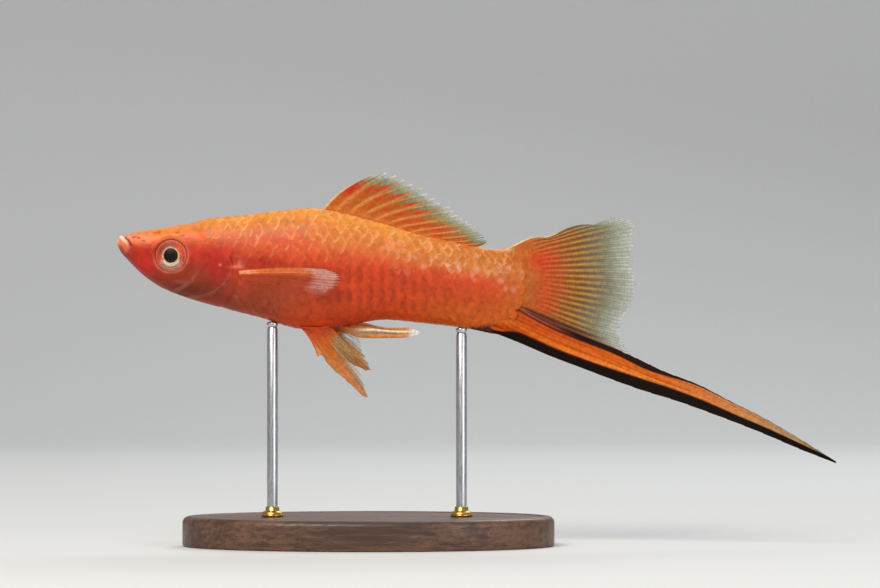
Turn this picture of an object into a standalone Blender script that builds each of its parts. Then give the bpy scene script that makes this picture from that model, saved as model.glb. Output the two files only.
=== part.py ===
"""A male swordtail, life size, as a still display model held level on a small oval stand.

The fish faces -X and shows its left flank to -Y. Its shape is worked out in millimetres, in its own
measure: "along" runs from the snout's tip to the sword's tip, "height" is taken from the corner of the
mouth, and "side" is +Y, the fish's right. place() turns that measure into metres, with the stand's
underside at Z = 0 and the middle of the whole length at X = 0.
"""

import math
from typing import NamedTuple

import bpy
import numpy as np

# Driving dimensions, in millimetres
TOTAL_LENGTH = 120.0  # snout to the tip of the sword
STANDARD_LENGTH = 67.0  # snout to the end of the tail stalk
SNOUT_HEIGHT = 51.0  # of the mouth above the floor
GAP = 0.3  # left between pieces that touch
METRES = 0.001

# The body's lines, each as (along, height) or (along, half width)
NOSE_LEVEL = -0.45
NOSE_ROUNDING = 1.4
BACK_LINE = (
    (0.0, 0.5), (1.4, 0.75), (2.3, 1.15), (3.9, 1.45), (8.9, 2.25), (12.3, 2.9), (15.6, 3.7),
    (20.6, 4.17), (27.2, 5.0), (33.2, 5.4), (38.9, 4.3), (43.9, 3.0), (50.6, 1.0), (57.2, -0.42),
    (62.5, -1.3), (65.5, -1.45), (67.0, -1.2),
)
BELLY_LINE = (
    (0.0, -1.3), (0.6, -2.1), (1.4, -2.85), (2.3, -3.8), (3.9, -5.4), (7.3, -7.85), (10.6, -9.25),
    (17.2, -11.25), (23.9, -13.0), (30.6, -14.9), (33.9, -15.0), (38.9, -14.3), (43.9, -13.4),
    (50.6, -13.9), (57.2, -14.6), (62.5, -15.2), (67.0, -15.8),
)
WIDEST_LINE = (
    (0.0, -0.45), (4.0, -1.6), (9.0, -2.7), (20.0, -4.0), (33.0, -5.0), (45.0, -5.5),
    (57.0, -7.3), (67.0, -8.6),
)
HALF_WIDTH = (
    (0.0, 1.5), (1.5, 1.95), (4.0, 2.8), (6.5, 3.4), (9.0, 3.8), (13.0, 4.3), (18.0, 4.7),
    (24.0, 4.95), (30.0, 5.0), (36.0, 4.8), (42.0, 4.25), (48.0, 3.55), (54.0, 2.85),
    (60.0, 2.1), (64.0, 1.5), (67.0, 1.0),
)
CROWN_SQUARENESS = ((0.0, 2.0), (4.0, 2.5), (12.0, 2.5), (22.0, 2.1), (67.0, 2.0))
RING_SIDES = 32
HEAD_RINGS, TRUNK_RINGS, HIND_RINGS, STALK_RINGS = 22, 11, 8, 7
SMOOTH_BELOW = math.radians(50)  # edges that turn more than this are shaded sharp

# Where the body is parted, along the fish
HEAD_END = 20.5
TRUNK_SPLIT = 42.0
STALK_START = 55.0

# The rounded end of the tail stalk: height is mapped to -1 at its foot and +1 at its top
STALK_TOP, STALK_FOOT = -1.2, -15.8
STALK_END_ARC = (66.92, 0.92, -2.58)  # along = c0 + c1 t + c2 t squared
FAN_FOOT = -10.5  # height where the fan gives way to the sword

# The head's parts, as outlines in side view
JAW_OUTLINE = ((-2.0, 0.62), (1.25, 0.62), (2.75, -1.35), (4.6, -5.0), (7.6, -9.6), (-2.0, -9.6))
JAW_ROOM = (0.35, 0.12)  # how far the head's cut stands back from the jaw and above it
GILL_OUTLINE = (
    (12.2, -2.6), (13.6, -1.5), (16.5, -1.2), (18.6, -2.6), (19.4, -5.0), (18.6, -7.4),
    (16.8, -8.9), (14.2, -9.3), (12.4, -8.2), (11.7, -5.4),
)
GILL_MIDDLE = 15.5  # where along the fish a gill cover is thickest
GILL_DEPTH = 1.3  # its thickness there
CUTTER_REACH = 9.0  # how far to each side a cutter stands out
EYE_AT = (9.08, -2.63)
EYE_RADIUS, EYE_HALF_DEPTH, EYE_BULGE = 2.65, 1.7, 0.3

# The stand
BASE_LENGTH, BASE_WIDTH, BASE_THICKNESS, BASE_CHAMFER = 62.0, 36.0, 5.0, 0.8
BASE_CENTRE_ALONG = 42.0
BASE_SIDES = 48
ROD_RADIUS = 0.9
ROD_SIDES = 20
ROD_FRONT_ALONG, ROD_REAR_ALONG = 26.0, 57.5


class Finish(NamedTuple):
    """What a material looks like: linear colour, roughness and metallic value."""

    colour: tuple
    roughness: float
    metallic: float = 0.0


FINISHES = {
    "skin": Finish((0.80, 0.13, 0.03), 0.40),
    "cheek": Finish((0.62, 0.07, 0.03), 0.38),
    "fin": Finish((0.85, 0.27, 0.06), 0.45),
    "sword": Finish((0.86, 0.24, 0.04), 0.45),
    "eye": Finish((0.02, 0.015, 0.01), 0.08),
    "walnut": Finish((0.09, 0.035, 0.015), 0.45),
    "steel": Finish((0.60, 0.60, 0.62), 0.30, 1.0),
}


def place(along, side, height):
    """World points, in metres, of points in the fish's own measure."""
    return np.stack([along - TOTAL_LENGTH / 2, side, height + SNOUT_HEIGHT], axis=-1) * METRES


def through(points, at):
    """Values at "at" of the smooth line through (x, y) points: a cubic whose slope at each point is that
    of the chord between its two neighbours."""
    x, y = np.array(points, float).T
    slope = np.gradient(y, x)
    at = np.clip(np.asarray(at, float), x[0], x[-1])
    i = np.clip(np.searchsorted(x, at) - 1, 0, len(x) - 2)
    width = x[i + 1] - x[i]
    t = (at - x[i]) / width
    return (
        (1 + 2 * t) * (1 - t) ** 2 * y[i]
        + t * (1 - t) ** 2 * width * slope[i]
        + t**2 * (3 - 2 * t) * y[i + 1]
        + t**2 * (t - 1) * width * slope[i + 1]
    )


def path(points, at):
    """Points at the shares "at" (0 to 1) of the smooth path through the given points."""
    points = np.array(points, float)
    steps = np.linalg.norm(np.diff(points, axis=0), axis=1)
    share = np.concatenate([[0], np.cumsum(steps)]) / steps.sum()
    axes = [through(list(zip(share, points[:, k])), at) for k in range(points.shape[1])]
    return np.stack(axes, axis=-1)


def stalk_end(height):
    """Where the tail stalk ends at a height: a curve that bulges back between its top and its foot."""
    t = 2 * (height - STALK_FOOT) / (STALK_TOP - STALK_FOOT) - 1
    c0, c1, c2 = STALK_END_ARC
    return c0 + c1 * t + c2 * t**2


def body_point(along, angle):
    """(along, side, height) on the body, where angle 0 points to +Y and a quarter turn to the back.
    Each section is a squared ellipse about its widest level, and the nose rounds off like a ball."""
    tip = np.clip(1 - along / NOSE_ROUNDING, 0, 1)
    rounding = np.sqrt(1 - tip**2)
    back, belly = through(BACK_LINE, along), through(BELLY_LINE, along)
    widest, half = through(WIDEST_LINE, along), through(HALF_WIDTH, along)
    power = np.where(np.sin(angle) > 0, through(CROWN_SQUARENESS, along), 2.0)
    cos, sin = np.cos(angle), np.sin(angle)
    shrink = (np.abs(cos) ** power + np.abs(sin) ** power) ** (-1 / power)
    reach = np.where(sin > 0, back - widest, widest - belly)
    height = widest + reach * sin * shrink
    height = NOSE_LEVEL + (height - NOSE_LEVEL) * rounding
    share = np.clip((along - STALK_START) / (STANDARD_LENGTH - STALK_START), 0, 1)
    bend = share**2 * (3 - 2 * share) * (stalk_end(height) - STANDARD_LENGTH)
    return along + bend, half * cos * shrink * rounding, height


def belly_at(along):
    """Height of the lowest line of the body, where the body's end isn't bent."""
    return float(through(BELLY_LINE, along))


def add_mesh(name, points, faces, finish):
    """A new object with this mesh and a material of its own, its outside recalculated and shaded smooth."""
    mesh = bpy.data.meshes.new(name)
    mesh.from_pydata([tuple(p) for p in points], [], [tuple(f) for f in faces])
    mesh.update()
    obj = bpy.data.objects.new(name, mesh)
    bpy.context.scene.collection.objects.link(obj)
    material = bpy.data.materials.new(name)
    material.use_nodes = True
    shader = material.node_tree.nodes["Principled BSDF"]
    shader.inputs["Base Color"].default_value = (*FINISHES[finish].colour, 1.0)
    shader.inputs["Roughness"].default_value = FINISHES[finish].roughness
    shader.inputs["Metallic"].default_value = FINISHES[finish].metallic
    mesh.materials.append(material)
    mesh.shade_smooth()
    mesh.set_sharp_from_angle(angle=SMOOTH_BELOW)
    return obj


def tube_faces(rings, sides, first=0):
    """Quads between successive rings of points, each with this many sides."""
    faces = []
    for r in range(rings - 1):
        for k in range(sides):
            a, b = first + r * sides + k, first + r * sides + (k + 1) % sides
            faces.append((a, b, b + sides, a + sides))
    return faces


def fan_faces(centre, ring, reverse=False):
    """Triangles from a centre point to a ring of points."""
    pairs = zip(ring, ring[1:] + ring[:1])
    return [(centre, b, a) if reverse else (centre, a, b) for a, b in pairs]


def body_length(name, start, end, rows, finish, nose=False):
    """One length of the body as a closed solid. Its ends are fans about a middle point."""
    if nose:
        share = 1 - np.cos(np.linspace(0, math.pi / 2, rows + 1))[1:]
    else:
        share = np.linspace(0, 1, rows)
    stations = start + (end - start) * share
    angles = np.linspace(0, 2 * math.pi, RING_SIDES, endpoint=False)
    along, side, height = body_point(stations[:, None], angles[None, :])
    rings = place(along, side, height).reshape(-1, 3)
    last = len(rings) - RING_SIDES
    centre_front = rings[:RING_SIDES].mean(axis=0)
    if nose:
        centre_front = place(0.0, 0.0, NOSE_LEVEL)
    centre_back = rings[last:].mean(axis=0)
    points = np.concatenate([rings, [centre_front, centre_back]])
    faces = tube_faces(len(stations), RING_SIDES)
    faces += fan_faces(len(rings), list(range(RING_SIDES)), reverse=True)
    faces += fan_faces(len(rings) + 1, list(range(last, len(rings))))
    return add_mesh(name, points, faces, finish)


def prism(name, outline, side_from, side_to):
    """A cutter: an outline in side view, stretched across the fish."""
    outline = np.array(outline, float)
    if np.cross(outline[1] - outline[0], outline[2] - outline[1]) < 0:
        outline = outline[::-1]
    count = len(outline)
    side_from, side_to = sorted((side_from, side_to))
    near = place(outline[:, 0], np.full(count, side_from), outline[:, 1])
    far = place(outline[:, 0], np.full(count, side_to), outline[:, 1])
    faces = [tuple(range(count)), tuple(range(2 * count - 1, count - 1, -1))]
    faces += [(k, k + count, (k + 1) % count + count, (k + 1) % count) for k in range(count)]
    cutter = add_mesh(name, np.concatenate([near, far]), faces, "skin")
    cutter.hide_render = True
    cutter.display_type = "WIRE"
    return cutter


def ellipsoid(name, centre, radii, finish, rings=12, sides=20):
    """A closed ellipsoid with its poles across the fish."""
    lat = np.linspace(0, math.pi, rings + 1)[1:-1, None]
    lon = np.linspace(0, 2 * math.pi, sides, endpoint=False)[None, :]
    along = centre[0] + radii[0] * np.sin(lat) * np.cos(lon)
    side = centre[1] + radii[1] * np.cos(lat) * np.ones_like(lon)
    height = centre[2] + radii[2] * np.sin(lat) * np.sin(lon)
    rows = place(along, side, height).reshape(-1, 3)
    poles = [
        place(centre[0], centre[1] + radii[1], centre[2]),
        place(centre[0], centre[1] - radii[1], centre[2]),
    ]
    last = len(rows) - sides
    faces = [face[::-1] for face in tube_faces(rings - 1, sides)]
    faces += fan_faces(len(rows), list(range(sides)))[::-1]
    faces += fan_faces(len(rows) + 1, list(range(last, len(rows))), reverse=True)
    faces = [face[::-1] for face in faces]
    return add_mesh(name, np.concatenate([rows, poles]), faces, finish)


def boolean(obj, cutter, operation):
    """Adds an exact Boolean to an object."""
    modifier = obj.modifiers.new(operation.lower(), "BOOLEAN")
    modifier.object = cutter
    modifier.operation = operation
    modifier.solver = "EXACT"


def grown(outline, by):
    """An outline moved outwards from its middle by a distance."""
    outline = np.array(outline, float)
    away = outline - outline.mean(axis=0)
    return outline + away / np.linalg.norm(away, axis=1)[:, None] * by


def smooth_outline(outline, count):
    """A closed outline as a ring of evenly shared points on the smooth path through its corners."""
    closed = list(outline) + [outline[0]]
    return path(closed, np.linspace(0, 1, count, endpoint=False))


def head_length(name):
    """The whole head, from the nose to the first parting, for a part of it to be cut from."""
    return body_length(name, 0.0, HEAD_END - GAP / 2, HEAD_RINGS, "cheek", nose=True)


def make_head():
    """The head, its lower jaw, its two gill covers and its two eyes."""
    head = head_length("head")
    jaw = head_length("lower_jaw")
    jaw_outline = np.array(JAW_OUTLINE, float)
    jaw_room = jaw_outline + JAW_ROOM
    boolean(jaw, prism("jaw_keep", jaw_outline, -CUTTER_REACH, CUTTER_REACH), "INTERSECT")
    boolean(head, prism("jaw_cut", jaw_room, -CUTTER_REACH, CUTTER_REACH), "DIFFERENCE")
    cover = smooth_outline(GILL_OUTLINE, 20)
    inner = float(through(HALF_WIDTH, GILL_MIDDLE)) - GILL_DEPTH
    cheek = float(through(HALF_WIDTH, EYE_AT[0]))
    for side, hand in ((-1, "left"), (1, "right")):
        gill = head_length(f"gill_cover_{hand}")
        reach = side * CUTTER_REACH
        boolean(gill, prism(f"gill_keep_{hand}", cover, side * inner, reach), "INTERSECT")
        room = prism(f"gill_cut_{hand}", grown(cover, GAP), side * (inner - GAP), reach)
        boolean(head, room, "DIFFERENCE")
        centre = (EYE_AT[0], side * (cheek + EYE_BULGE - EYE_HALF_DEPTH), EYE_AT[1])
        radii = (EYE_RADIUS, EYE_HALF_DEPTH, EYE_RADIUS)
        ellipsoid(f"eye_{hand}", centre, radii, "eye")
        socket = ellipsoid(f"socket_{hand}", centre, [r + GAP for r in radii], "skin", 10, 18)
        socket.hide_render = True
        socket.display_type = "WIRE"
        boolean(head, socket, "DIFFERENCE")


def make_trunk():
    """The trunk in two lengths and the tail stalk, each parted from the next by the gap."""
    half = GAP / 2
    body_length("trunk_front", HEAD_END + half, TRUNK_SPLIT - half, TRUNK_RINGS, "skin")
    body_length("trunk_rear", TRUNK_SPLIT + half, STALK_START - half, HIND_RINGS, "skin")
    body_length("tail_stalk", STALK_START + half, STANDARD_LENGTH, STALK_RINGS, "skin")


def sheet(name, points, half_thickness, finish):
    """A closed plate about a grid of (along, side, height) points, thickened across the fish."""
    rows, columns = points.shape[:2]
    along, side, height = points[..., 0], points[..., 1], points[..., 2]
    right = place(along, side + half_thickness, height).reshape(-1, 3)
    left = place(along, side - half_thickness, height).reshape(-1, 3)
    count = rows * columns
    faces = []
    for r in range(rows - 1):
        for c in range(columns - 1):
            a = r * columns + c
            faces.append((a, a + 1, a + columns + 1, a + columns))
            faces.append((count + a, count + a + columns, count + a + columns + 1, count + a + 1))
    rim = (
        [c for c in range(columns - 1)]
        + [r * columns + columns - 1 for r in range(rows - 1)]
        + [(rows - 1) * columns + c for c in range(columns - 1, 0, -1)]
        + [r * columns for r in range(rows - 1, 0, -1)]
    )
    faces += [(b, a, a + count, b + count) for a, b in zip(rim, rim[1:] + rim[:1])]
    across, lengthwise = points[0, -1] - points[0, 0], points[-1, 0] - points[0, 0]
    if across[0] * lengthwise[2] - across[2] * lengthwise[0] > 0:
        faces = [face[::-1] for face in faces]
    return add_mesh(name, np.concatenate([right, left]), faces, finish)


class Fin(NamedTuple):
    """A fin's outline: its rays run from the root path to the tip path and bow by a share of a length."""

    root: tuple
    tip: tuple
    rays: int
    rows: int
    root_half: float  # half thickness at the root
    notch: float = 0.5  # depth of the cuts between the ray tips
    bow: tuple = (0.0, 0.0)  # of the first ray and of the last
    side_root: float = 0.0
    side_tip: float = 0.0


TIP_HALF = 0.26  # half thickness at a fin's edge


def make_fin(name, fin, finish="fin"):
    """A ray fin as a thin plate whose edge is cut in between the rays' tips."""
    columns = 2 * fin.rays - 1
    a = np.linspace(0, 1, columns)
    root, tip = path(fin.root, a), path(fin.tip, a)
    cut = fin.notch * (np.arange(columns) % 2)
    ray = tip - root
    length = np.linalg.norm(ray, axis=1)
    tip = tip - ray * (cut / length)[:, None]
    normal = np.stack([-ray[:, 1], ray[:, 0]], axis=1) / length[:, None]
    bow = fin.bow[0] + (fin.bow[1] - fin.bow[0]) * a
    b = np.linspace(0, 1, fin.rows)[:, None, None]
    flat = root * (1 - b) + tip * b + (normal * bow[:, None]) * 4 * b * (1 - b)
    side = fin.side_root + (fin.side_tip - fin.side_root) * np.repeat(b[..., 0], columns, axis=1)
    points = np.stack([flat[..., 0], side, flat[..., 1]], axis=-1)
    half = fin.root_half + (TIP_HALF - fin.root_half) * b[..., 0] ** 0.6
    return sheet(name, points, np.repeat(half, columns, axis=1), finish)


def make_dorsal_fin():
    """The back fin, its root laid along the back a gap above it."""
    along = np.linspace(34.8, 58.7, 7)
    root = tuple(zip(along, through(BACK_LINE, along) + GAP + 0.1))
    tip = (
        (42.2, 10.8), (44.7, 11.3), (47.2, 10.7), (51.4, 9.0), (55.2, 6.3), (58.0, 4.0),
        (61.0, 1.6), (62.2, -0.2),
    )
    make_fin("dorsal_fin", Fin(root, tip, 13, 6, 0.45, bow=(0.9, 0.0)))


def flank_at(along, height):
    """Half width of the body at a height above or below its widest level."""
    widest = float(through(WIDEST_LINE, along))
    reach = float(through(BACK_LINE, along)) - widest
    if height < widest:
        reach = widest - float(through(BELLY_LINE, along))
    rise = min(1.0, abs(height - widest) / reach)
    return float(through(HALF_WIDTH, along)) * math.sqrt(1 - rise**2)


def make_pectoral_fins():
    """The breast fins, folded back along the flanks and standing a little off them."""
    root = ((21.3, -5.2), (21.5, -6.4), (21.6, -7.6))
    tip = ((35.5, -4.9), (37.8, -6.2), (36.8, -8.0), (34.6, -9.6), (31.0, -10.9))
    root_half = 0.35
    start = flank_at(24.0, -6.4) + GAP + root_half
    for side, hand in ((-1, "left"), (1, "right")):
        fin = Fin(root, tip, 9, 6, root_half, 0.4, (0.35, 0.0), side * start, side * (start + 2.2))
        make_fin(f"pectoral_fin_{hand}", fin)


def make_pelvic_fins():
    """The belly fins, spread under the trunk, the right one swung further back than the left."""
    left_root = ((31.0, -15.35), (33.4, -15.4), (36.0, -15.15))
    left_tip = ((33.8, -20.0), (36.6, -22.6), (42.0, -26.3), (41.2, -23.6), (40.4, -20.6), (39.2, -18.2))
    right_root = ((32.0, -15.4), (34.4, -15.4), (37.0, -15.05))
    right_tip = ((35.4, -18.8), (38.2, -20.4), (42.4, -21.8), (41.2, -19.9), (40.6, -18.4), (39.8, -16.9))
    make_fin("pelvic_fin_left", Fin(left_root, left_tip, 7, 6, 0.4, 0.35, (0.3, 0.0), -1.1, -3.4))
    make_fin("pelvic_fin_right", Fin(right_root, right_tip, 7, 6, 0.4, 0.35, (0.3, 0.0), 1.1, 3.6))


def make_gonopodium():
    """The male's anal fin, drawn out into a pointed rod that lies under the belly."""
    upper = ((38.6, -14.75), (41.0, -14.55), (44.0, -14.7), (48.0, -14.85), (50.6, -15.5))
    lower = ((38.2, -15.6), (40.5, -16.35), (44.0, -16.45), (48.0, -16.4), (50.6, -15.6))
    b = np.linspace(0, 1, 12)
    a = np.linspace(0, 1, 4)[None, :, None]
    flat = path(lower, b)[:, None] * (1 - a) + path(upper, b)[:, None] * a
    points = np.stack([flat[..., 0], np.zeros(flat.shape[:2]), flat[..., 1]], axis=-1)
    half = np.repeat((0.5 - 0.22 * b)[:, None], 4, axis=1)
    sheet("gonopodium", points, half, "fin")


def make_tail():
    """The tail fin: the fan of rays on the stalk's end, and the sword drawn out from its foot."""
    height = np.linspace(STALK_TOP - 0.2, FAN_FOOT, 6)
    root = tuple(zip(stalk_end(height) + GAP, height))
    tip = (
        (82.9, 3.8), (86.5, 2.7), (86.2, 0.0), (86.3, -4.0), (86.7, -8.2), (86.1, -10.8),
        (84.5, -13.6), (83.9, -15.6), (86.8, -19.1),
    )
    make_fin("tail_fan", Fin(root, tip, 18, 7, 0.8, 0.45, (0.6, -0.05)))
    lower = (
        (63.8, -16.1), (67.2, -17.2), (72.2, -19.3), (77.2, -21.2), (87.2, -24.9), (93.9, -27.0),
        (99.7, -29.1), (107.2, -32.0), (113.9, -34.85), (119.9, -37.2),
    )
    upper = (
        (67.0, -10.85), (72.2, -13.65), (77.2, -15.8), (83.9, -18.4), (88.9, -20.9), (97.2, -24.2),
        (102.2, -26.8), (108.1, -29.75), (113.9, -33.15), (120.0, -36.95),
    )
    b = np.linspace(0, 1, 30)
    a = np.linspace(0, 1, 5)[None, :, None]
    flat = path(lower, b)[:, None] * (1 - a) + path(upper, b)[:, None] * a
    front = stalk_end(flat[0, :, 1]) + GAP
    flat[0, :, 0] = front
    points = np.stack([flat[..., 0], np.zeros(flat.shape[:2]), flat[..., 1]], axis=-1)
    half = np.repeat((TIP_HALF + (0.8 - TIP_HALF) * (1 - b) ** 3)[:, None], 5, axis=1)
    sheet("tail_sword", points, half, "sword")


def make_base():
    """The stand's oval base, with a chamfer round its upper edge."""
    turn = np.linspace(0, 2 * math.pi, BASE_SIDES, endpoint=False)
    levels = (
        (0.0, 0.0), (0.0, BASE_THICKNESS - BASE_CHAMFER), (BASE_CHAMFER, BASE_THICKNESS),
    )
    rings = []
    for inset, height in levels:
        along = BASE_CENTRE_ALONG + (BASE_LENGTH / 2 - inset) * np.cos(turn)
        side = (BASE_WIDTH / 2 - inset) * np.sin(turn)
        rings.append(place(along, side, np.full(BASE_SIDES, height - SNOUT_HEIGHT)))
    points = np.concatenate(rings)
    faces = tube_faces(len(levels), BASE_SIDES)
    faces.append(tuple(range(BASE_SIDES - 1, -1, -1)))
    faces.append(tuple(range(len(points) - BASE_SIDES, len(points))))
    add_mesh("stand_base", points, faces, "walnut")


def make_rod(name, along):
    """An upright rod from the base to just under the belly."""
    foot = BASE_THICKNESS + GAP - SNOUT_HEIGHT
    top = min(belly_at(along - ROD_RADIUS), belly_at(along + ROD_RADIUS)) - GAP
    turn = np.linspace(0, 2 * math.pi, ROD_SIDES, endpoint=False)
    rings = [
        place(along + ROD_RADIUS * np.cos(turn), ROD_RADIUS * np.sin(turn), np.full(ROD_SIDES, level))
        for level in (foot, top)
    ]
    faces = tube_faces(2, ROD_SIDES)
    faces.append(tuple(range(ROD_SIDES - 1, -1, -1)))
    faces.append(tuple(range(ROD_SIDES, 2 * ROD_SIDES)))
    add_mesh(name, np.concatenate(rings), faces, "steel")


def main():
    """Clears the scene and builds every piece."""
    for obj in list(bpy.data.objects):
        bpy.data.objects.remove(obj)
    make_head()
    make_trunk()
    make_dorsal_fin()
    make_pectoral_fins()
    make_pelvic_fins()
    make_gonopodium()
    make_tail()
    make_base()
    make_rod("stand_rod_front", ROD_FRONT_ALONG)
    make_rod("stand_rod_rear", ROD_REAR_ALONG)


main()
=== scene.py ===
"""The looks of a male swordtail on its display stand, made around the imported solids.

Shapes are worked out in the fish's own measure, in millimetres: "along" runs back from the snout's tip,
"side" is the fish's right (+Y) and "height" counts from the mouth. placed() turns that into metres.
"""

from __future__ import annotations

import logging
import math
from dataclasses import dataclass, field
from enum import Enum
from functools import partial
from typing import Callable

import bpy
import numpy as np
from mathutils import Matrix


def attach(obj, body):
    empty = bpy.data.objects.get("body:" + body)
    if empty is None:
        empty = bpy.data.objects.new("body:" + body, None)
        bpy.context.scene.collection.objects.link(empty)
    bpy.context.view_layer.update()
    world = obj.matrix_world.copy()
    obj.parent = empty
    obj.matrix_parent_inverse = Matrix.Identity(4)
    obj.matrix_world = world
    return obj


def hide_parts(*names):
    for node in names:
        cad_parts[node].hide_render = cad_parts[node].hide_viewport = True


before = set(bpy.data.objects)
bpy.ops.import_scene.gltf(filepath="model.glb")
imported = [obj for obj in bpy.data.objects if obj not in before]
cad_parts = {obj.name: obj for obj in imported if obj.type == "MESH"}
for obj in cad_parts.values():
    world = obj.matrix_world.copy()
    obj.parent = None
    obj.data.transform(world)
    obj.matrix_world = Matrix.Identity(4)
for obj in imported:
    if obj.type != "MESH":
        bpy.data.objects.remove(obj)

log = logging.getLogger("swordtail")
Array = np.ndarray

# Millimetres, and the factor that turns them into metres.
TOTAL_LENGTH = 120.0
SNOUT_HEIGHT = 51.0
STALK_END = 67.0
METRES = 0.001
ROOT_BODY = "root"


class Side(Enum):
    """A side of the fish, with the sign of its "side" coordinate."""

    LEFT = -1
    RIGHT = 1

    @property
    def hand(self) -> str:
        """The side as the names of pieces and solids have it."""
        return self.name.lower()


# Small tools for numbers and colours


def linear(code: str) -> Array:
    """Linear red, green and blue, from 0 to 1, of an sRGB hex colour such as "#C04020"."""
    parts = np.array([int(code[k : k + 2], 16) for k in (1, 3, 5)]) / 255
    return np.where(parts <= 0.04045, parts / 12.92, ((parts + 0.055) / 1.055) ** 2.4)


def smooth(low: float, high: float, at: Array) -> Array:
    """A step from 0 at low to 1 at high, level at both ends: t t (3 - 2 t). It falls if low is higher."""
    t = np.clip((np.asarray(at, float) - low) / (high - low), 0, 1)
    return t * t * (3 - 2 * t)


def bell(distance: Array, width: float) -> Array:
    """A soft bump of height 1 that falls off as exp(-(distance / width) squared)."""
    return np.exp(-((distance / width) ** 2))


def stacked(*parts: Array) -> Array:
    """Coordinates, or colours, of the parts side by side in a new last axis."""
    return np.stack(np.broadcast_arrays(*parts), axis=-1)


def through(points: tuple, at: Array) -> Array:
    """The smooth line through (x, y) points: a cubic whose slope at a point is its neighbours' chord.

    Args:
        points: The (x, y) points, x rising.
        at: The x values.

    Returns:
        The line's y values.
    """
    x, y = np.array(points, float).T
    slope = np.gradient(y, x)
    at = np.clip(np.asarray(at, float), x[0], x[-1])
    i = np.clip(np.searchsorted(x, at) - 1, 0, len(x) - 2)
    width = x[i + 1] - x[i]
    t = (at - x[i]) / width
    return (
        (1 + 2 * t) * (1 - t) ** 2 * y[i]
        + t * (1 - t) ** 2 * width * slope[i]
        + t**2 * (3 - 2 * t) * y[i + 1]
        + t**2 * (t - 1) * width * slope[i + 1]
    )


def path(points: tuple, at: Array) -> Array:
    """Points on the smooth path through the given points, by share of its length.

    Args:
        points: The path's points, of any dimension.
        at: Shares from 0 to 1.

    Returns:
        One point for each share.
    """
    points = np.array(points, float)
    steps = np.linalg.norm(np.diff(points, axis=0), axis=1)
    share = np.concatenate([[0], np.cumsum(steps)]) / steps.sum()
    axes = [through(tuple(zip(share, points[:, k])), at) for k in range(points.shape[1])]
    return np.stack(axes, axis=-1)


def distance_to(line: Array, x: Array, y: Array) -> Array:
    """Distance from points to an open chain of straight steps.

    Args:
        line: The chain's corners, (n, 2).
        x: First coordinate of the points.
        y: Second coordinate of the points.

    Returns:
        The shortest distance for each point.
    """
    best = np.full(np.shape(x), np.inf)
    for a, b in zip(line[:-1], line[1:]):
        step = b - a
        t = np.clip(((x - a[0]) * step[0] + (y - a[1]) * step[1]) / (step @ step), 0, 1)
        best = np.minimum(best, np.hypot(x - a[0] - t * step[0], y - a[1] - t * step[1]))
    return best


def inside(ring: Array, x: Array, y: Array) -> Array:
    """Whether points lie in a closed ring, by counting the sides that a ray from each one crosses.

    Args:
        ring: The ring's corners, (n, 2).
        x: First coordinate of the points.
        y: Second coordinate of the points.

    Returns:
        True where a point is inside.
    """
    within = np.zeros(np.shape(x), bool)
    for (ax, ay), (bx, by) in zip(ring, np.roll(ring, -1, axis=0)):
        if ay != by:
            within ^= ((ay > y) != (by > y)) & (x < ax + (y - ay) * (bx - ax) / (by - ay))
    return within


def scatter(*keys: Array) -> Array:
    """Random-looking numbers from 0 to 1 that depend only on the keys: the far digits of a sine."""
    total = sum(np.asarray(key, float) * factor for key, factor in zip(keys, (12.9898, 78.233, 37.719)))
    return np.abs(np.sin(total) * 43758.5453) % 1


def mottle(points: Array, cell: float, seed: int) -> Array:
    """A soft random field: numbers on a cubic lattice, blended between with a smooth step.

    Args:
        points: Where it is wanted, (..., 3).
        cell: The lattice's spacing, in the points' unit.
        seed: Picks the field.

    Returns:
        Values from -1 to 1.
    """
    spot = points / cell + seed * 7.31
    corner = np.floor(spot)
    share = spot - corner
    share = share * share * (3 - 2 * share)
    total = np.zeros(points.shape[:-1])
    for step in np.ndindex(2, 2, 2):
        weight = np.prod(np.abs(1 - np.array(step) - share), axis=-1)
        total += weight * scatter(*np.moveaxis(corner + step, -1, 0))
    return 2 * total - 1


def graded(stops: tuple, at: Array) -> Array:
    """Colours along a scale of (value, sRGB hex) stops, blended in linear light.

    Args:
        stops: The stops, values rising.
        at: Where on the scale.

    Returns:
        Linear colours, (..., 3).
    """
    values = [value for value, _ in stops]
    colours = np.array([linear(code) for _, code in stops])
    return stacked(*(np.interp(at, values, colours[:, k]) for k in range(3)))


@dataclass
class Paint:
    """Linear colours, (..., 3), and how much they cover what is behind them, from 0 to 1."""

    colour: Array
    cover: Array | float = 1.0

    def lay(self, code: str, weight: Array) -> None:
        """Lays an sRGB hex colour over them, by a weight from 0 to 1."""
        weight = np.clip(weight, 0, 1)[..., None]
        self.colour = self.colour * (1 - weight) + linear(code) * weight


# Meshes


def placed(points: Array) -> Array:
    """World points, in metres, of (along, side, height) points in millimetres."""
    return (points + (-TOTAL_LENGTH / 2, 0, SNOUT_HEIGHT)) * METRES


def net(rows: int, columns: int, first: int = 0, wrap: bool = False) -> Array:
    """Quads of a grid whose points are numbered row by row.

    Args:
        rows: Rows of points.
        columns: Points in a row.
        first: Number of the grid's first point.
        wrap: Whether each row closes on itself.

    Returns:
        Point numbers, (n, 4).
    """
    r = np.arange(rows - 1)[:, None]
    c = np.arange(columns if wrap else columns - 1)[None, :]
    a = r * columns + c
    b = r * columns + (c + 1) % columns
    return first + stacked(a, b, b + columns, a + columns).reshape(-1, 4)


def fan(centre: int, ring: Array, back: bool = False) -> Array:
    """Triangles between a point and a closed ring of points.

    Args:
        centre: The point's number.
        ring: The ring's numbers.
        back: Whether the triangles turn the other way.

    Returns:
        Point numbers, (n, 3).
    """
    after = np.roll(ring, -1)
    middle = np.full(len(ring), centre)
    return stacked(middle, after, ring) if back else stacked(middle, ring, after)


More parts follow.
